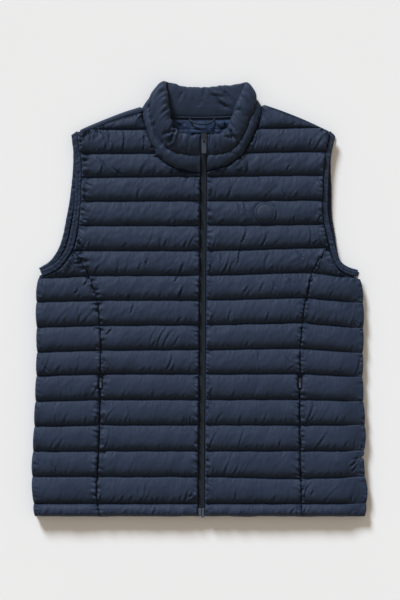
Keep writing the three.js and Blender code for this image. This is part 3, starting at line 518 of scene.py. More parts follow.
# The fronts: on each half a main panel and, past the princess seam, a side panel. Both are the back's nylon
# and filling, stitched through in channels, so that each channel swells and creases between its lines.
FLOOR = 0.0106
SEAM_THICK = 0.0025
LOFT = 0.0098
THINNEST = 0.0012
EDGE_RUN = 0.0036  # width of the rounding along a panel's edge
ZIP_HALF = 0.0055
ZIP_SLIT = 0.0001
SEAM_GAP = 0.00035
# The pocket's zip: its ends, half its width, where its pull ends, and how far its lips close over it, stand
# apart round the slider and pull, and are pressed down there.
POCKET = {"top": -0.128, "bottom": -0.316, "half": 0.0015, "pull_end": -0.1595, "close": 0.0012,
          "apart": 0.0023, "pressed": 0.0045}
ZIP = curve([(3.1, -379, 11), (5, -100, 11), (6.6, 150, 11), (7, 212, 11.2), (7.1, 224, 12.6),
             (7.35, 250, 19.4), (7.75, 286, 26.6)], 900)
ROWS = 35  # to a channel
SPACING = 0.00132  # of the columns
HIGHEST = 0.3355
SIDE_TOP = 6.12  # the line, with its fraction, where the side panels start
BADGE = (0.114, 0.1495)
BADGE_RING = 0.0195
sewn = []  # paths of the visible stitching


def zip_x(y):
    return np.interp(y, ZIP[:, 1], ZIP[:, 0])


def seam_half(y):
    return np.where((y < POCKET["top"]) & (y > POCKET["bottom"]), POCKET["half"] + SEAM_GAP, SEAM_GAP / 2)


def inside_armhole(half):
    """The panels' edge behind the binding."""
    points = outline(half, "arm_front")
    near = moved(points, -half["sign"] * (BINDING + 0.0006))
    far = moved(points, -half["sign"] * (BINDING + 0.0028))
    share = smooth((np.linspace(0, 60, len(points)) - 30) / 14)[:, None]
    return near + (far - near) * share


# The fronts' neck seam on each half, from the zip to the shoulder, in millimetres.
NECK_SEAMS = {
    -1: [(-1.3, 219.8), (-20, 222.4), (-42, 228), (-62, 240.5), (-78.2, 261), (-89, 291.5), (-96, 312),
         (-98, 324)],
    1: [(12.9, 223), (34, 227.6), (54, 236), (73, 251.4), (88.4, 276.5), (97.6, 297), (103.8, 313),
        (106.5, 326)],
}


def edge_distance(x, y):
    """Distance of each point of a grid to the grid's border, and how far along it the nearest place is."""
    grid = np.stack([x, y], axis=2)
    border = np.concatenate([grid[0], grid[:, -1], grid[-1, ::-1], grid[::-1, 0]])
    run = distances(border)
    best = np.full(x.shape, 1.0)
    place = np.zeros(x.shape)
    for start in range(0, len(border), 40):
        some = border[start : start + 40]
        away = np.hypot(x[..., None] - some[:, 0], y[..., None] - some[:, 1])
        nearest = away.argmin(2)
        reach = np.take_along_axis(away, nearest[..., None], 2)[..., 0]
        place = np.where(reach < best, run[start + nearest], place)
        best = np.minimum(best, reach)
    return best, place


def channel_lines(first):
    """Rows of a panel, closer together near the stitched lines."""
    steps = np.linspace(0, 1, ROWS, endpoint=False)
    steps = steps - np.sin(2 * np.pi * steps) * 0.07
    rows = (np.arange(int(first), LAST_LINE)[:, None] + steps).ravel()
    return np.concatenate([[first], rows[rows > first + 0.02], [LAST_LINE]])


def panel_grid(half, first, left, right):
    """A panel's points from above: rows along the stitched lines, columns from its left to its right edge."""
    lines = channel_lines(first)
    ends = []
    for edge in (left, right):
        x = np.zeros(len(lines)) + half["sign"] * 0.01
        for _ in range(24):
            x = 0.5 * x + 0.5 * edge(line_height(x, lines), lines)
        ends.append(x)
    columns = int(max(abs(ends[1] - ends[0])) / SPACING) + 1
    share = np.linspace(0, 1, columns)
    share = share - np.sin(2 * np.pi * share) * 0.05
    x = ends[0][:, None] + (ends[1] - ends[0])[:, None] * share
    y = line_height(x, np.broadcast_to(lines[:, None], x.shape))
    y = y + 0.0008 * scatter(x, lines[:, None] * 0.012 + 0 * x, 42, 7.2) * smooth(lines[:, None] - 0.5)
    y = y + 0.0011 * scatter(x, x * 0, 24, 7.5) * smooth(lines[:, None] - 16)
    return lines, x, y


def closed_panel(name, top, base, floor, material):
    """A quilted sheet of points over a plain inside, whose edge stands on the base points."""
    rows, columns = top.shape[:2]
    index = np.arange(rows * columns).reshape(rows, columns)
    squares = np.stack([index[:-1, :-1], index[1:, :-1], index[1:, 1:], index[:-1, 1:]], axis=2)
    faces = squares.reshape(-1, 4).tolist()
    points = [*top.reshape(-1, 3)]
    below = {}

    def under(r, c):
        if (r, c) not in below:
            below[r, c] = len(points)
            points.append(np.array([*base[r, c], floor]))
        return below[r, c]

    last_row, last = rows - 1, columns - 1
    for c in range(last):
        faces.append([index[0, c], index[0, c + 1], under(0, c + 1), under(0, c)])
        faces.append([index[last_row, c + 1], index[last_row, c], under(last_row, c), under(last_row, c + 1)])
    for r in range(last_row):
        faces.append([index[r + 1, 0], index[r, 0], under(r, 0), under(r + 1, 0)])
        faces.append([index[r, last], index[r + 1, last], under(r + 1, last), under(r, last)])
    faces.append([under(0, c) for c in range(columns)] + [under(1, last), under(1, 0)])
    for r in range(1, last_row - 1):
        faces.append([under(r, 0), under(r, last), under(r + 1, last), under(r + 1, 0)])
    ends = [under(last_row - 1, 0), under(last_row - 1, last)]
    faces.append(ends + [under(last_row, c) for c in range(last, -1, -1)])
    return turned_out(plain_mesh(name, points, [[int(i) for i in face] for face in faces], material))


def crown(share):
    """A channel's cross-section: it rises gently from its upper line and drops steeply to its lower one."""
    steep, gentle = (1 - np.clip(1 - share / reach, 0, 1) ** 2 for reach in (0.07, 0.6))
    rise = 0.35 * steep + 0.65 * gentle
    fall = (1 - np.clip((share - 0.6) / 0.4, 0, 1) ** 2.3) ** 0.8
    return np.minimum(rise, fall)


def crease(x, y, start, angle, long, deep, wide, lip=0.45):
    """Depth of one crease seen from above, at an angle to +X from its start: a sharp valley beside a soft
    lip, bowed a little, that fades along its way."""
    px, py = x - start[0], y - start[1]
    along = px * np.cos(angle) + py * np.sin(angle)
    across = py * np.cos(angle) - px * np.sin(angle)
    share = np.clip(along / long, 0, 1)
    bow = 0.1 * long * np.sin(start[0] * 9e3)
    across = across + bow * np.sin(np.pi * share) + 0.0004 * np.sin(along * 900 + start[0] * 5e3)
    reach = wide * (0.8 + 0.5 * share)
    fade = smooth((1 - along / long) / 0.6) * smooth((along + 0.001) / 0.003)
    valley = np.exp(-(abs(across / reach) ** 1.5))
    ridge = bell(across - 2.1 * reach, 1.3 * reach)
    return deep * fade * (valley - lip * ridge)


def fold_in(depth, x, y, start, angle, long, deep, wide):
    """Presses a crease into a panel's grid, where it reaches."""
    row = min(max(np.searchsorted(-y[:, y.shape[1] // 2], -start[1]), 0), len(y) - 1)
    span = int(long / 0.001) + 14
    low, high = np.searchsorted(x[row], [start[0] - long - 0.008, start[0] + long + 0.008])
    part = (slice(max(0, row - span), row + span), slice(max(0, low - 12), high + 12))
    depth[part] += crease(x[part], y[part], start, angle, long, deep, wide)


# The fronts' main creases: foot, direction in degrees, length and depth, in millimetres.
CREASES = [
    (72, 97, 70, 31, 2.2), (67, 61, 80, 42, 2.0), (107, 92, 70, 31, 2.0), (114, 90, 70, 12, 1.8),
    (77, 12, 60, 16, 2.2), (83, 2, 70, 18, 2.0), (117, -37, 70, 18, 2.0), (50, -38, 70, 23, 1.6),
    (102, -104, 90, 16, 1.5), (159, -113, 120, 23, 1.5), (67, -259, 70, 42, 1.5), (138, -258, 70, 16, 2.0),
    (182, -343, 60, 31, 1.8), (194, -341, 60, 12, 2.2), (264, -299, 50, 18, 2.6), (131, 158, 130, 10, 1.6),
    (152, 224, 50, 12, 1.6), (191, 264, 70, 18, 1.4), (213, 193, 120, 16, 1.8), (208, 139, 60, 12, 2.0),
    (197, 96, 40, 12, 2.0), (-57, -122, 70, 31, 2.2), (-50, -125, 60, 16, 2.4), (-37, 5, 60, 24, 2.2),
    (-43, 30, 70, 42, 1.9), (-29, 89, 60, 17, 2.2), (-93, 57, 70, 16, 2.3), (-44, -80, 60, 23, 1.8),
    (-119, -26, 70, 23, 1.6), (-161, -61, 50, 16, 2.0), (-180, -23, 70, 42, 1.7), (-201, 23, 60, 23, 2.0),
    (-213, 268, 60, 16, 1.8), (-217, 9, 60, 16, 2.2), (-211, -42, 60, 23, 1.7), (-152, 299, 60, 10, 2.0),
    (-156, 270, 90, 23, 1.5), (-164, 259, 80, 16, 1.8), (-135, 216, 140, 23, 1.9),
    (-159, 219, 130, 42, 1.5), (-98, 258, 70, 12, 2.2), (-95, 270, 90, 18, 1.7), (-18, -343, 50, 10, 2.4),
    (-25, -350, 80, 16, 2.2), (-95, -345, 80, 31, 1.5), (-156, -118, 120, 23, 1.5),
    (-260, -127, 130, 23, 1.6), (-187, -167, 60, 23, 2.0), (-139, 54, 96, 16, 1.6), (-105, 50, 70, 18, 1.8),
    (-133, 88, 62, 14, 1.6), (-62, 92, 72, 15, 2.0), (-38, -2, 62, 22, 2.0), (-34, 48, 68, 20, 1.7),
    (40, 214, 115, 24, 1.6), (83, 148, 100, 28, 1.6), (70, 150, 108, 22, 1.5), (108, 205, 112, 26, 1.3),
    (150, 176, 110, 18, 1.5), (133, 18, 115, 20, 1.7), (160, 25, 120, 16, 1.5), (104, 12, 62, 24, 1.6),
    (38, 64, 100, 18, 1.6), (180, 70, 125, 24, 1.5), (250, -258, 60, 16, 1.8), (230, -262, 55, 14, 2.0),
    (262, -290, 52, 24, 3.0), (276, -277, 200, 14, 2.6), (236, -214, 65, 18, 1.7),
    (-236, -214, 62, 20, 1.6), (-250, -300, 110, 22, 1.6), (-120, -212, 100, 22, 1.3),
]


def creased(x, y, lines, edge, place, rim, seed):
    """Depth of a panel's creases: the main ones, smaller slanting ones from the stitched lines, gathers that
    run in from its seams, and soft unevenness over the channels."""
    rng = np.random.default_rng(seed)
    depth = np.zeros_like(x)
    for along, up, degrees, long, deep in CREASES:
        foot = (along / 1000, up / 1000)
        row = min(np.searchsorted(-y[:, 0], -foot[1]), len(y) - 1)
        if x[row, 0] < foot[0] < x[row, -1]:
            fold_in(depth, x, y, foot, np.radians(degrees), long / 1000, deep * 1.5 / 1000, 0.0015)
    for channel in range(int(lines[0]), LAST_LINE):
        inside = np.where((lines >= channel) & (lines <= channel + 1))[0]
        if len(inside) < 6:
            continue
        upper, lower = inside[0], inside[-1]
        height = abs(y[upper] - y[lower]).max()
        at = x[lower].min() + rng.uniform(0, 0.008)
        while at < x[lower].max():
            busy = noise.noise(Vector((at * 14, channel * 1.7, seed)))
            long = height * rng.choice([0.22, 0.36, 0.6, 0.95], p=[0.42, 0.33, 0.17, 0.08]) * (1 + 0.5 * busy)
            deep = rng.uniform(0.0009, 0.003) * (0.8 + 0.9 * busy)
            angle = np.pi / 2 - rng.normal(0.42, 0.3)
            start = (at, np.interp(at, x[lower], y[lower]) + 0.0008)
            fold_in(depth, x, y, start, angle, long, deep, rng.uniform(0.0011, 0.0019))
            at += rng.gamma(1.5, 0.0095) * (1.25 - 0.9 * busy)
        at = x[upper].min() + rng.uniform(0, 0.02)
        while at < x[upper].max():
            angle = -np.pi / 2 - rng.normal(0.3, 0.3)
            start = (at, np.interp(at, x[upper], y[upper]) - 0.0008)
            long = height * rng.uniform(0.15, 0.4)
            fold_in(depth, x, y, start, angle, long, rng.uniform(0.0002, 0.0007), rng.uniform(0.0012, 0.002))
            at += rng.gamma(1.6, 0.022)
    lively = 0.5 + 0.5 * smooth((y + 0.12) / 0.2) + 0.3 * scatter(x, y, 12, seed + 3.5)
    depth = depth * (0.6 + 0.4 * lively)
    slanted = x - 0.38 * y
    below = smooth((lines - np.floor(lines))[:, None] / 0.4)  # a channel's upper part is the smoothest
    depth += 0.0008 * (0.35 + 0.65 * below) * scatter(slanted, y * 0.34, 50, seed)
    bent = slanted + 0.003 * scatter(x, y, 40, seed + 4.5)
    depth += 0.0008 * lively * (0.2 + 0.8 * below) * scatter(bent, y * 0.7, 140, seed + 0.5)
    reach = 0.0045 + 0.005 * np.clip(0.5 + scatter(place, place * 0, 75, seed + 1.5), 0, 1)
    reach = reach * (1 - np.minimum(rim, 0))
    gather = np.clip(2.2 * scatter(place + 0.3 * edge, edge * 0.35, 190, seed + 2.5), -1, 1)
    calm = 1 - 0.65 * smooth((y - line_height(x, 1.0)) / 0.004)  # the shoulder's short channel
    gathers = 0.003 * (1 - 0.72 * rim) * gather * bell(edge, reach)
    return calm * (depth * smooth(edge / 0.0018) + gathers)


def front_piece(half, name, node, first, left, right, seed):
    lines, x, y = panel_grid(half, first, left, right)
    edge, place = edge_distance(x, y)
    share = np.broadcast_to((lines - np.floor(lines))[:, None], x.shape)
    # The shoulder seam cuts the top channel to a wedge, which is lower where it is narrow.
    up = np.maximum(0, y - line_height(x, 1.0))
    wedge = np.broadcast_to(lines[:, None] < 1, x.shape)
    rise = crown(np.where(wedge, edge / (edge + up + 1e-6), share))
    rise = rise * np.where(wedge, np.minimum(1, (edge + up) / 0.03) ** 0.6, 1)
    full = LOFT * (1 + 0.07 * scatter(x, y, 34, seed + 0.2)) * (1 - 0.7 * smooth((x - 0.24) / 0.046))
    shoulder = np.sqrt(np.maximum(0, 1 - (1 - np.minimum(1, edge / EDGE_RUN)) ** 2))
    by_armhole = smooth((y - 0.045) / 0.02) * smooth((abs(x) - 0.15) / 0.02)
    on_left = half["sign"] > 0
    seam_x = crossing(outline(half, "princess"), y)
    reach = abs(x - seam_x) - seam_half(y)
    in_pocket = smooth((POCKET["top"] - y) / 0.004) * smooth((y - POCKET["bottom"]) / 0.004)
    by_princess = smooth((0.008 - reach) / 0.003) * (1 - in_pocket)
    held_up = np.maximum((0.65 if on_left else 0.3) * by_armhole, 0.35 * wedge)
    shoulder = shoulder + (1 - shoulder) * np.maximum(held_up, 0.45 * by_princess)
    z = FLOOR + SEAM_THICK + full * rise * shoulder
    # The side and the hem are rolled over, so little gathers there, and much by the right armhole.
    from_side = abs(crossing(outline(half, "side"), y)) - abs(x)
    rim = 1 - smooth(np.minimum(from_side, y - line_height(x, float(LAST_LINE))) / 0.014)
    rim = rim + (0.3 if on_left else -0.7) * by_armhole
    z = z - creased(x, y, lines, edge, place, rim, seed) * np.minimum(1, rise * 2.2)
    z = np.maximum(z, FLOOR + THINNEST)
    if name == "front_panel_left":
        # The badge is pressed into a shallow ring.
        away = np.hypot(x - BADGE[0], y - BADGE[1])
        z = z - 0.0016 * bell(away - BADGE_RING, 0.0022)
    # The pocket's lips close over its zip, and stand apart round its slider and pull.
    base = np.stack([x, y], axis=2)
    apart = smooth((y - POCKET["pull_end"]) / 0.004) * smooth((POCKET["top"] + 0.0005 - y) / 0.0025)
    towards = POCKET["close"] * in_pocket - POCKET["apart"] * apart
    x = x + np.sign(seam_x - x) * towards * bell(reach, 0.002)
    z = z + 0.0012 * bell(reach, 0.001) * in_pocket * (1 - apart)
    z = np.maximum(z - POCKET["pressed"] * bell(reach, 0.0035) * apart, FLOOR + THINNEST)
    for row in np.where(lines % 1 == 0)[0][int(lines[0] % 1 == 0):-1]:
        sewn.append(np.stack([x[row], y[row], z[row] + 0.0002], axis=1)[2:-2])
    piece = closed_panel(name, np.stack([x, y, z], axis=2), base, FLOOR, shell)
    place_on(piece, "shell_cloth", node)


for half, side_name, seed in ((RIGHT, "right", 11), (LEFT, "left", 23)):
    sign = half["sign"]
    princess = outline(half, "princess")
    hole = inside_armhole(half)
    # On the wearer's left the front covers the folded strip, on the right the strip shows.
    shoulder = outline(half, "shoulder") if sign < 0 else moved(outline(half, "fold"), -0.0012)
    neck = moved(curve(NECK_SEAMS[sign], 300), -sign * 0.002)
    princess_top = princess[0, 1]

    def outer(y, line):
        by_shoulder = np.where(y > shoulder[-1, 1], abs(crossing(shoulder, y)), 1)
        bound = np.minimum(abs(crossing(hole, y)), by_shoulder)
        return np.where(y < princess_top, crossing(princess, y) - sign * seam_half(y), sign * bound)

    def inner(y, line):
        return np.where(y < neck[0, 1], zip_x(y) + sign * (ZIP_HALF + 0.0003), crossing(neck, y))

    def side_outer(y, line):
        edge = abs(crossing(outline(half, "side"), y)) - SCALLOP * (1 - puff(line, 0.55))
        edge = edge - (notch(y) if sign > 0 else 0)
        return sign * np.where(y < hole[-1, 1], edge, np.minimum(edge, abs(crossing(hole, y))))

    def side_inner(y, line):
        return crossing(princess, y) + sign * seam_half(y)

    top = min(shoulder[0, 1] - 0.0012, HIGHEST)
    first = (STITCHED[0, 0] - top) / (STITCHED[0, 0] - STITCHED[1, 0])
    main = (outer, inner) if sign < 0 else (inner, outer)
    side = (side_outer, side_inner) if sign < 0 else (side_inner, side_outer)
    front_piece(half, f"front_panel_{side_name}", f"front_{side_name}", first, *main, seed)
    front_piece(half, f"side_panel_{side_name}", f"side_front_{side_name}", SIDE_TOP, *side, seed + 5)


# The armhole bindings: a strip of the same nylon wrapped over the raw edges, one round the front and one
# round the back of each armhole. The stitching gathers them into fine puckers.
BINDING_SEAM = 0.42  # where the stitching runs, as a share of the width
binding_nylon = shell_look("binding_nylon", (0.015, 0.0243, 0.0483), (0.0217, 0.0338, 0.0632), 0.04)


def binding(name, path, inward, low, high, seed, width):
    """A rounded strip along its outer edge, whose top is gathered."""
    angle = np.linspace(0, 2 * np.pi, 28, endpoint=False)
    squareness = 0.62
    across = width * (0.5 + 0.5 * np.sign(np.cos(angle)) * abs(np.cos(angle)) ** squareness)
    up = np.sign(np.sin(angle)) * abs(np.sin(angle)) ** squareness
    way = direction(path)
    side = np.stack([-way[:, 1], way[:, 0]], axis=1) * inward
    run = distances(path)
    sections = []
    for i, (point, out) in enumerate(zip(path, side)):
        wave = np.array([noise.noise(Vector((run[i] * 230 + s * 60, s * 110, seed))) for s in across])
        dip = 0.001 * bell(across - width * BINDING_SEAM, 0.0009)
        dip = dip + 0.0005 * smooth((across / width - BINDING_SEAM) / 0.1)
        end = smooth((min(i, len(path) - 1 - i) + 0.5) / 4)
        height = low + (high - low) * (0.5 + 0.5 * up * (0.55 + 0.45 * end))
        height = np.where(up > 0.1, height - dip + 0.0013 * wave * end, height)
        wobble = 0.0004 * noise.noise(Vector((run[i] * 120, 3.3, seed))) * (1 - across / width)
        flat = point[None] + out[None] * (across + wobble)[:, None]
        flat[:, 1] += 0.006 * across / width * max(0, 1 - i / 7)  # the end follows the shoulder's slope
        sections.append(np.column_stack([flat, height]))
    seam = path + side * width * BINDING_SEAM
    sewn.append(np.column_stack([seam, np.full(len(seam), high - 0.0007)])[6:-6])
    return tube(name, sections, binding_nylon)


for half, side_name in ((RIGHT, "right"), (LEFT, "left")):
    # The back's binding lies lower on the wearer's left, in the front's shadow.
    by_side = {"right": (FLOOR - 0.0004, 0.0148, 0), "left": (0.0045, 0.016, 0.0016)}
    back_high, front_high, inset = by_side[side_name]
    for layer, low, high, seed in (("front", FLOOR + 0.0002, front_high, 1.0), ("back", 0.0, back_high, 2.0)):
        narrower = inset if layer == "front" else 0
        path = moved(outline(half, f"arm_{layer}", 170), -half["sign"] * narrower)
        made = binding(f"binding_{layer}_{side_name}", path, -half["sign"], low, high, seed + half["sign"],
                       BINDING - narrower)
        place_on(made, "trim_cloth", f"armhole_binding_{layer}_{side_name}")


# The collar: one padded wall round the neck in two channels, plain inside. It stands up at the front, where
# the zip ends, and its back lies flat behind the neck.
COLLAR_SEAM = 0.0022
COLLAR_LOFT = 0.0085
# From the zip on the wearer's right round to the zip on the left: seam, stitched line and top edge, then the
# share of the full padding. Millimetres.
COLLAR = [
    ((1.3, 219.8, 11.2), (1.5, 250, 19), (1.9, 285.5, 26), 0.55),
    ((-20, 222.4, 11.2), (-20, 252, 20), (-18.3, 285, 27), 1),
    ((-42, 228, 11.4), (-37.4, 255.4, 21), (-34, 289, 30), 1),
    ((-62, 240.5, 11.6), (-54.8, 262, 21), (-43.5, 296.7, 33), 1),
    ((-78.2, 261, 12), (-69, 277, 20), (-49, 310.6, 36), 1),
    ((-89, 291.5, 12.6), (-78, 302, 18.5), (-52.5, 333.2, 36), 1),
    ((-96, 312, 13), (-85.6, 326, 16.5), (-55.5, 357, 34), 0.9),
    ((-98, 324, 12.8), (-87, 339.5, 15), (-58, 370, 28), 0.75),
    ((-98, 330, 11.4), (-87, 346, 13.2), (-58.4, 376, 20), 0.65),
    ((-93.5, 331, 10), (-83, 346.5, 11.2), (-54, 376.6, 12), 0.75),
    ((-72.2, 323.4, 9.8), (-60, 344.6, 10.5), (-37.4, 372.4, 11.3), 1),
    ((-44.4, 318.3, 9.8), (-37.4, 339.5, 10.4), (-20, 369.5, 11.2), 1),
    ((7, 316.8, 9.8), (7, 337.6, 10.4), (7.5, 367.8, 11.2), 1),
    ((56.6, 318.8, 9.8), (51.3, 339.6, 10.4), (34, 370, 11.2), 1),
    ((84.4, 324.5, 9.8), (74, 344.5, 10.5), (51.3, 372.8, 11.3), 1),
    ((102, 333, 10), (92, 348, 11.2), (72, 375.6, 12), 0.75),
    ((106, 332.5, 11.4), (96.6, 347, 13.9), (78, 374.2, 15.6), 0.65),
    ((106.5, 326, 12.8), (96, 340, 16.8), (76.5, 368, 19.8), 0.75),
    ((103.8, 313, 13), (92.6, 326, 19.5), (71, 354.5, 24.5), 0.9),
    ((97.6, 297, 12.6), (85.4, 310.6, 21.5), (63, 338, 28), 1),
    ((88.4, 276.5, 12), (78.6, 293, 22.5), (57.4, 320, 29), 1),
    ((73, 251.4, 11.6), (67, 272.3, 22), (50.5, 303, 29), 1),
    ((54, 236, 11.4), (53, 259.5, 21), (40.9, 290.6, 28.5), 1),
    ((34, 227.6, 11.2), (34, 252.8, 20), (28.7, 285.2, 27), 1),
    ((12.9, 223, 11.2), (13.2, 250.5, 19), (13.6, 285.5, 26), 0.55),
]

# Creases of the outside and, behind the neck, of the inside: foot, direction, length and depth, as above.
COLLAR_CREASES = [
    (-41, 292, 204, 27, 5.0), (-44, 289, 244, 25, 3.4), (-45, 282, 236, 14, 2.8), (-43, 269, 219, 11, 2.4),
    (-52, 262, 30, 12, 2.0), (46, 297, 299, 26, 6.0), (43, 284, 333, 19, 3.4), (51, 286, 330, 17, 3.4),
    (58, 326, 11, 13, 2.4), (51, 259, 308, 10, 1.8), (-70, 262, 150, 16, 1.6), (-20, 262, 100, 14, 1.4),
    (28, 262, 80, 14, 1.4),
]
INNER_CREASES = [
    (21, 358, 319, 46, 4.2), (32, 342, 319, 22, 3.4), (26, 356, 346, 20, 2.6), (10, 368, 274, 24, 2.6),
    (-30, 360, 250, 20, 1.8), (-12, 350, 285, 18, 1.6), (44, 362, 300, 24, 2.6), (2, 345, 240, 16, 1.6),
]


def by_station(values, count):
    """A smooth curve through one value a station, at even shares of the stations."""
    knots = np.array(values, float)
    knots = np.vstack([2 * knots[0] - knots[1], knots, 2 * knots[-1] - knots[-2]])
    at = np.linspace(0, len(values) - 1, count)
    low = np.minimum(len(values) - 2, np.floor(at)).astype(int)
    t = (at - low)[:, None]
    a, b, c, d = (knots[low + k] for k in range(4))
    return 0.5 * (2 * b + (c - a) * t + (2 * a - 5 * b + 4 * c - d) * t * t + (3 * b - a - 3 * c + d) * t**3)


def press(depth, points, table, sign):
    """Adds a table's creases to the depth of the collar's points."""
    for along, up, degrees, long, deep in table:
        foot = (along / 1000, up / 1000)
        angle = np.radians(degrees)
        depth += sign * crease(points[..., 0], points[..., 1], foot, angle, long / 1000, deep / 1000, 0.0022)


def collar():
    count = 330
    base, mid, top = (by_station([row[k] for row in COLLAR], count) / 1000 for k in range(3))
    loft = by_station([[row[3]] for row in COLLAR], count)[:, 0] * COLLAR_LOFT
    station = np.linspace(0, len(COLLAR) - 1, count)
    at_back = smooth((station - 8.5) / 1.5) * smooth((15.5 - station) / 1.5)
    flatter = 1 - 0.85 * (np.exp(-(((station - 7.5) / 2.0) ** 4)) + np.exp(-(((station - 16.5) / 2.0) ** 4)))
    run = distances(mid)
    lean = top - base
    lean /= np.linalg.norm(lean, axis=1)[:, None]
    at_front = smooth((4.5 - station) / 1.5) + smooth((station - 19.5) / 1.5)
    wave = (0.0018 + 0.0016 * at_front) * scatter(run, run * 0, 90, 6.0)
    wave = wave + 0.002 * scatter(run, run * 0, 38, 6.5) * at_back
    top = top + lean * wave[:, None]
    inside = np.linspace(0, 1, 34)
    shares = np.linspace(1, 0, 62)
    shares = np.clip(shares - np.sin(shares * 4 * np.pi) * 0.018, 0, 1)

    def wall(share):
        share = np.asarray(share)[None, :, None]
        lower = base[:, None] + (mid - base)[:, None] * np.minimum(1, share * 2)
        return lower + (top - mid)[:, None] * np.maximum(0, share * 2 - 1)

    inner, outer = wall(inside), wall(shares)
    way = np.gradient(outer, axis=0)
    out = np.cross((top - base)[:, None], way)
    out /= np.linalg.norm(out, axis=2)[..., None]
    part = np.where(shares > 0.5, (shares - 0.5) * 2, shares * 2)
    # On the wearer's right the upper channel is fullest near the opening.
    leaning = smooth((station - 2.5) / 1.5) * smooth((9.5 - station) / 1.5)
    part = part ** (1 + 0.9 * leaning[:, None] * (shares > 0.5))
    profile = puff(part, 0.46)
    profile = np.where(shares > 0.5, profile * 1.03, profile * flatter[:, None])
    u, v = np.meshgrid(run, shares, indexing="ij")
    tall = 0.035
    rng = np.random.default_rng(41)
    depth = 0.0009 * scatter(u - 0.4 * v * tall, v * tall * 0.4, 75, 8.0)
    depth += 0.0005 * scatter(u, v * tall, 160, 9.0)
    for channel in (0.0, 0.5):
        at = 0.004
        while at < run[-1]:
            rise = np.clip((v - channel) * 2, 0, 1)
            long = rng.choice([0.3, 0.5, 0.8])
            slant = rng.normal(0.012, 0.009)
            wide = rng.uniform(0.0012, 0.0022)
            away = u - at - slant * rise
            fade = smooth((long - rise) / long) * smooth(rise / 0.1) * (v >= channel) * (v <= channel + 0.5)
            valley = bell(away, wide * (1 + rise / long))
            depth += rng.uniform(0.0004, 0.0014) * fade * valley
            at += rng.gamma(1.8, 0.009)
    gather = np.clip(2.2 * scatter(u + 0.3 * v * tall, v * 0, 150, 12.0), -1, 1)
    near_line = bell(1 - v, 0.16) + 0.5 * bell(v, 0.12) + 0.5 * bell(v - 0.5, 0.1)
    depth = depth * 1.2 * np.minimum(1, profile * 1.5) + 0.0027 * gather * near_line
    press(depth, outer, COLLAR_CREASES, 1)
    thick = COLLAR_SEAM + loft[:, None] * profile - depth
    outside = outer + out * np.maximum(thick, 0.0009)[..., None]
    across = np.gradient(inner, axis=0)
    back = -np.cross((top - base)[:, None], across)
    back /= np.linalg.norm(back, axis=2)[..., None]
    u, v = np.meshgrid(run, inside, indexing="ij")
    soft = 0.0004 + (0.0012 + 0.0028 * at_back[:, None]) * puff(v, 0.45)
    soft += 0.001 * scatter(u + 0.5 * v * tall, v * tall, 60, 4.0) * np.sin(np.pi * v)
    press(soft, inner, INNER_CREASES, -1)
    inner = inner + back * np.maximum(soft, -0.0006)[..., None]
    sections = np.concatenate([inner, outside], axis=1)
    sections[..., 2] = np.maximum(sections[..., 2], 0.0)
    middle = abs(shares - 0.5).argmin()
    for part in (slice(6, 118), slice(212, -6)):  # behind the neck no stitch shows
        sewn.append(outside[part, middle] + out[part, middle] * 0.0002)
    # The ends by the zip are rounded shut.
    for end, step in ((0, 1), (count - 1, -1)):
        for k, share in enumerate((0.55, 0.82, 0.95)):
            ring = sections[end + step * k]
            sections[end + step * k] = ring.mean(0) + (ring - ring.mean(0)) * np.array([1, 1, share])
    return tube("collar_wall", sections, shell)


collar_wall = collar()
place_on(collar_wall, "shell_cloth", "collar")


# The neck tape covers the raw seam inside the back neck, and the hang loop, a thin rolled tube of lining, is
# sewn in under it.
trim = shell_look("trim_nylon", (0.0125, 0.0215, 0.043), (0.019, 0.031, 0.058), 0.04)
NECK_TAPE_WIDTH = 0.0034
INSIDE_NECK = 0.0104  # height of the seam inside the neck


def neck_tape():
    knots = [(x, y + 0.8) for (x, y, _), *_ in COLLAR[10:15]]
    path = curve(knots, 220)
    way = direction(path)
    side = np.stack([way[:, 1], -way[:, 0]], axis=1)
    shares = np.linspace(0, 1, 12)
    sections = []
    for i, (point, out) in enumerate(zip(path, side)):
        rise = 0.0009 * np.sin(np.pi * shares) ** 0.5 + 0.00025 * np.sin(i * 0.9) * np.sin(np.pi * shares)
        upper = np.column_stack([point + out * NECK_TAPE_WIDTH * shares[:, None], 0.0107 + rise])
        lower_xy = point + out * NECK_TAPE_WIDTH * shares[::-1, None]
        lower = np.column_stack([lower_xy, np.full(12, INSIDE_NECK)])
        sections.append(np.vstack([upper, lower]))
    return tube("neck_tape_strip", sections, trim)


tape_strip = neck_tape()
place_on(tape_strip, "trim_cloth", "neck_tape")

LOOP = curve([(-17.5, 316.4), (-16.4, 311.5), (-9, 306), (5.4, 303.3), (18, 306), (25, 311.5),
              (26, 316.6)], 90)
LOOP_RADIUS = 0.0018


def hang_loop():
    angle = np.linspace(0, 2 * np.pi, 14, endpoint=False)
    sections = []
    for i, (point, along) in enumerate(zip(LOOP, direction(LOOP))):
        end = smooth((min(i, len(LOOP) - 1 - i) - 4) / 8)
        radius = LOOP_RADIUS * (0.35 + 0.65 * end) * (1 + 0.05 * np.sin(i * 1.3 + 2 * angle))
        out = np.array([-along[1], along[0]])
        flat = point + out[None] * (radius * np.cos(angle))[:, None]
        lift = INSIDE_NECK + 0.0036 * end + 0.0062 * np.sin(np.pi * i / (len(LOOP) - 1))
        sections.append(np.column_stack([flat, lift + radius * np.sin(angle)]))
    return tube("hang_loop_tube", sections, trim)


loop = hang_loop()
place_on(loop, "trim_cloth", "hang_loop")


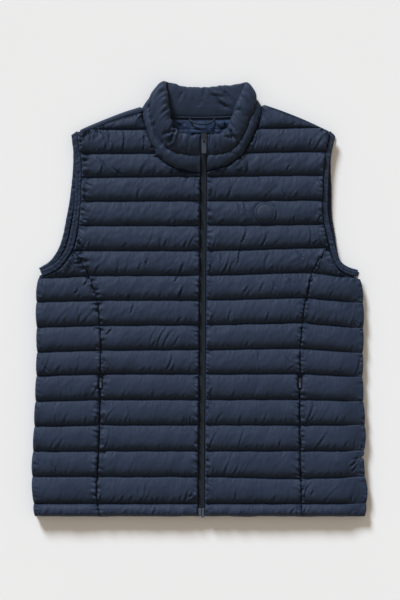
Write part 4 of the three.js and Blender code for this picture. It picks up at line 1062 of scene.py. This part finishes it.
# The front zip: two woven tapes that meet in the middle and climb the collar's front edge, with moulded
# teeth between them.
tape_look = Look("zip_tape_weave", Roughness=0.85, Specular_IOR_Level=0.12)
tx, ty = (tape_look.node("ShaderNodeSeparateXYZ", {}, {"Vector": tape_look.place}, k) for k in range(2))
ribs = (tx * 5200).wave() * 0.6 + ((ty + tx) * 4200).wave() * 0.4
tape_look.raise_by(ribs * 0.00012, 1.0, 0.8)
tape_look.mottle(tape_look.noise(300, 3), (0.0155, 0.0235, 0.037), (0.023, 0.033, 0.05))

TAPE_LOW = 0.0012
TAPE_HIGH = 0.0025
TAPE_EDGE = 0.0046
zip_line = ZIP[(ZIP[:, 1] >= -0.378) & (ZIP[:, 1] <= 0.286)][::2]


def zip_tape(name, sign):
    section = [(ZIP_SLIT, TAPE_LOW), (TAPE_EDGE, TAPE_LOW), (TAPE_EDGE, TAPE_HIGH - 0.0003),
               (TAPE_EDGE - 0.0003, TAPE_HIGH), (0.0022, TAPE_HIGH), (0.0018, TAPE_HIGH - 0.0003),
               (ZIP_SLIT + 0.0002, TAPE_HIGH - 0.0003), (ZIP_SLIT, TAPE_HIGH - 0.0005)]
    sections = [[(x + sign * away, y, z + rise) for away, rise in section] for x, y, z in zip_line]
    return tube(name, sections, tape_look.material)


for half, side_name in ((RIGHT, "right"), (LEFT, "left")):
    made = zip_tape(f"zip_tape_{side_name}_weave", half["sign"])
    place_on(made, "zip_tape", f"zip_tape_{side_name}")


# The zips' metal: sliders, pull tabs, and the box and pin at the front zip's foot, die-cast and coated in a
# satin grey enamel, dark on the sliders and lighter on the rest. The sliders run on the teeth, and each tab
# hangs on its slider's bridge. These keep the CAD's own meshes.
def enamel(name, low, high):
    look = Look(name, Metallic=0.1, Roughness=0.4, Specular_IOR_Level=0.25)
    tone = look.noise(700, 3)
    look.mottle(tone, low, high)
    look.raise_by(tone * 0.00004, 1.0, 0.6)
    return look.set(Roughness=tone * 0.25 + 0.3)


dark_enamel = enamel("slider_enamel", (0.024, 0.029, 0.041), (0.036, 0.043, 0.058))
light_enamel = enamel("pull_enamel", (0.06, 0.073, 0.096), (0.078, 0.094, 0.121))
for name in ("zip_slider", "zip_pull", "zip_box", "zip_pin", "pocket_slider_right", "pocket_slider_left",
             "pocket_pull_right", "pocket_pull_left"):
    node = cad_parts[name]
    node.data.materials.clear()
    node.data.materials.append(dark_enamel if "slider" in name else light_enamel)


# The pocket zips' tapes: the front zip's weave again, a narrow strip sewn deep into each princess seam, of
# which only the middle shows between the pocket's lips.
def pocket_tape(half, side_name):
    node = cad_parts[f"pocket_tape_{side_name}"]
    corners = np.array([node.matrix_world @ Vector(corner) for corner in node.bound_box])
    low, high = corners.min(0)[2], corners.max(0)[2]
    section = [(-0.0014, low), (0.0014, low), (0.0014, high - 0.0004), (0.001, high), (0.0003, high),
               (0.0001, high - 0.0006), (-0.0001, high - 0.0006), (-0.0003, high), (-0.001, high),
               (-0.0014, high - 0.0004)]
    sections = []
    for y in np.linspace(corners.max(0)[1], corners.min(0)[1], 120):
        x = crossing(outline(half, "princess"), y)
        sections.append([(x + away, y, z) for away, z in section])
    made = tube(f"pocket_tape_{side_name}_weave", sections, tape_look.material)
    place_on(made, "zip_tape", f"pocket_tape_{side_name}")


pocket_tape(RIGHT, "right")
pocket_tape(LEFT, "left")


# The badge: a thin round of moulded rubber, pressed on to the left breast under heat. It carries a plain
# raised ring and nothing else.
rubber = Look("badge_rubber_matt", Roughness=0.6, Specular_IOR_Level=0.2)
rubber_tone = rubber.noise(420, 3)
rubber.mottle(rubber_tone, (0.0125, 0.0215, 0.041), (0.018, 0.029, 0.053))
rubber.raise_by(rubber_tone * 0.00005, 1.0, 0.5)


def badge():
    panel = bpy.data.objects["front_panel_left"]
    points = np.array([v.co for v in panel.data.vertices])
    near = points[np.hypot(points[:, 0] - BADGE[0], points[:, 1] - BADGE[1]) < 0.024]
    rings = [(0.004, -1), (0.018, -1), (0.0187, 0.0002), (0.0187, 0.0008), (0.0182, 0.0014), (0.0172, 0.0017),
             (0.0162, 0.0016), (0.0156, 0.0011), (0.0152, 0.0006), (0.0147, 0.0006), (0.0143, 0.0011),
             (0.0136, 0.0013), (0.009, 0.0013), (0.004, 0.0013)]
    angle = np.linspace(0, 2 * np.pi, 96, endpoint=False)
    sections = []
    for radius, rise in rings:
        x = BADGE[0] + radius * np.cos(angle)
        y = BADGE[1] + radius * np.sin(angle)
        away = np.hypot(x[:, None] - near[:, 0], y[:, None] - near[:, 1])
        weight = bell(away, 0.0035)
        ground = (weight * near[:, 2]).sum(1) / weight.sum(1)
        sections.append(np.column_stack([x, y, ground + (0.0002 if rise < 0 else 0.0007 + rise)]))
    return tube("badge_disc", sections, rubber.material)


disc = badge()
place_on(disc, "badge_rubber", "badge")


# Sewing: lockstitches of polyester thread in the cloth's own colour, along the quilting's lines, the collar's
# middle and the bindings. Geometry Nodes lay one stitch after the other along the paths in sewn.
thread = Look("thread_polyester", Roughness=0.6, Specular_IOR_Level=0.2)
thread.mottle(thread.noise(800, 2), (0.008, 0.013, 0.026), (0.013, 0.02, 0.037))


def repeated(name, shape_of, inputs):
    """A tree that sets a small shape along every path of a wire mesh, at an even pitch and along its way."""
    tree = bpy.data.node_groups.new(name, "GeometryNodeTree")
    tree.interface.new_socket("Geometry", in_out="INPUT", socket_type="NodeSocketGeometry")
    sockets = {}
    for label, kind, value in inputs:
        socket = tree.interface.new_socket(label, in_out="INPUT", socket_type=kind)
        sockets[label] = (socket.identifier, value)
    tree.interface.new_socket("Geometry", in_out="OUTPUT", socket_type="NodeSocketGeometry")
    group = tree.nodes.new("NodeGroupInput")
    result = tree.nodes.new("NodeGroupOutput")

    def add(kind, **links):
        made = tree.nodes.new(kind)
        for key, source in links.items():
            tree.links.new(source, made.inputs[key.replace("_", " ")])
        return made

    wires = add("GeometryNodeMeshToCurve", Mesh=group.outputs["Geometry"])
    even = add("GeometryNodeResampleCurve", Curve=wires.outputs[0])
    even.mode = "LENGTH"
    tree.links.new(group.outputs["Pitch"], even.inputs["Length"])
    way = add("GeometryNodeInputTangent")
    turn = add("FunctionNodeAlignRotationToVector", Vector=way.outputs[0])
    turn.axis = "X"
    shape = shape_of(add, group)
    spots = {"Points": even.outputs[0], "Instance": shape, "Rotation": turn.outputs[0]}
    placed = add("GeometryNodeInstanceOnPoints", **spots)
    plain = add("GeometryNodeRealizeInstances", Geometry=placed.outputs[0])
    finished = add("GeometryNodeSetMaterial", Geometry=plain.outputs[0], Material=group.outputs["Material"])
    tree.links.new(finished.outputs[0], result.inputs[0])
    return tree, sockets


def set_along(name, paths, tree, sockets):
    """The wires of the paths, dressed by the tree and turned into a plain mesh."""
    points, edges = [], []
    for path in paths:
        edges += [(len(points) + k, len(points) + k + 1) for k in range(len(path) - 1)]
        points += path.tolist()
    wires = bpy.data.meshes.new(name + "_wires")
    wires.from_pydata(points, edges, [])
    holder = bpy.data.objects.new(name + "_wires", wires)
    scene.collection.objects.link(holder)
    modifier = holder.modifiers.new("Repeat", "NODES")
    modifier.node_group = tree
    for identifier, value in sockets.values():
        modifier[identifier] = value
    evaluated = holder.evaluated_get(bpy.context.evaluated_depsgraph_get())
    mesh = bpy.data.meshes.new_from_object(evaluated)
    holder.modifiers.remove(modifier)
    bpy.data.objects.remove(holder)
    made = bpy.data.objects.new(name, mesh)
    scene.collection.objects.link(made)
    return made


def stitch_shape(add, group):
    ball = add("GeometryNodeMeshUVSphere")
    ball.inputs["Segments"].default_value = 6
    ball.inputs["Rings"].default_value = 4
    ball.inputs["Radius"].default_value = 1.0
    half_length, thin = group.outputs["Half length"], group.outputs["Thread"]
    size = add("ShaderNodeCombineXYZ", X=half_length, Y=thin, Z=thin)
    return add("GeometryNodeTransform", Geometry=ball.outputs[0], Scale=size.outputs[0]).outputs[0]


stitch_tree, stitch_sockets = repeated("Stitches", stitch_shape, [
    ("Pitch", "NodeSocketFloat", 0.0032),
    ("Half length", "NodeSocketFloat", 0.0013),
    ("Thread", "NodeSocketFloat", 0.00028),
    ("Material", "NodeSocketMaterial", thread.material),
])
stitching = set_along("stitching", sewn, stitch_tree, stitch_sockets)
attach(stitching, "root")


# The zip's teeth: small loops of moulded nylon in a row along each tape's inner edge, sewn on so that one
# side's lie between the other's. Geometry Nodes set them out along two lines.
nylon = Look("zip_teeth_nylon", Roughness=0.45, Specular_IOR_Level=0.3)
nylon.mottle(nylon.noise(900, 2), (0.026, 0.03, 0.037), (0.036, 0.041, 0.049))


def tooth_shape(add, group):
    along, across, rise = (group.outputs[label] for label in ("Along", "Across", "Rise"))
    size = add("ShaderNodeCombineXYZ", X=along, Y=across, Z=rise)
    return add("GeometryNodeMeshCube", Size=size.outputs[0]).outputs[0]


teeth_tree, teeth_sockets = repeated("Teeth", tooth_shape, [
    ("Pitch", "NodeSocketFloat", 0.0018),
    ("Along", "NodeSocketFloat", 0.0008),
    ("Across", "NodeSocketFloat", 0.0019),
    ("Rise", "NodeSocketFloat", 0.0007),
    ("Material", "NodeSocketMaterial", nylon.material),
])
TOOTH_MIDDLE = 0.00095
rows = []
for sign, start in ((-1, 6), (1, 7)):
    row = zip_line[start:-8].copy()
    row[:, 0] += sign * TOOTH_MIDDLE
    row[:, 2] += TAPE_HIGH + 0.0001
    rows.append(row)
teeth = set_along("zip_teeth", rows, teeth_tree, teeth_sockets)
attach(teeth, "root")
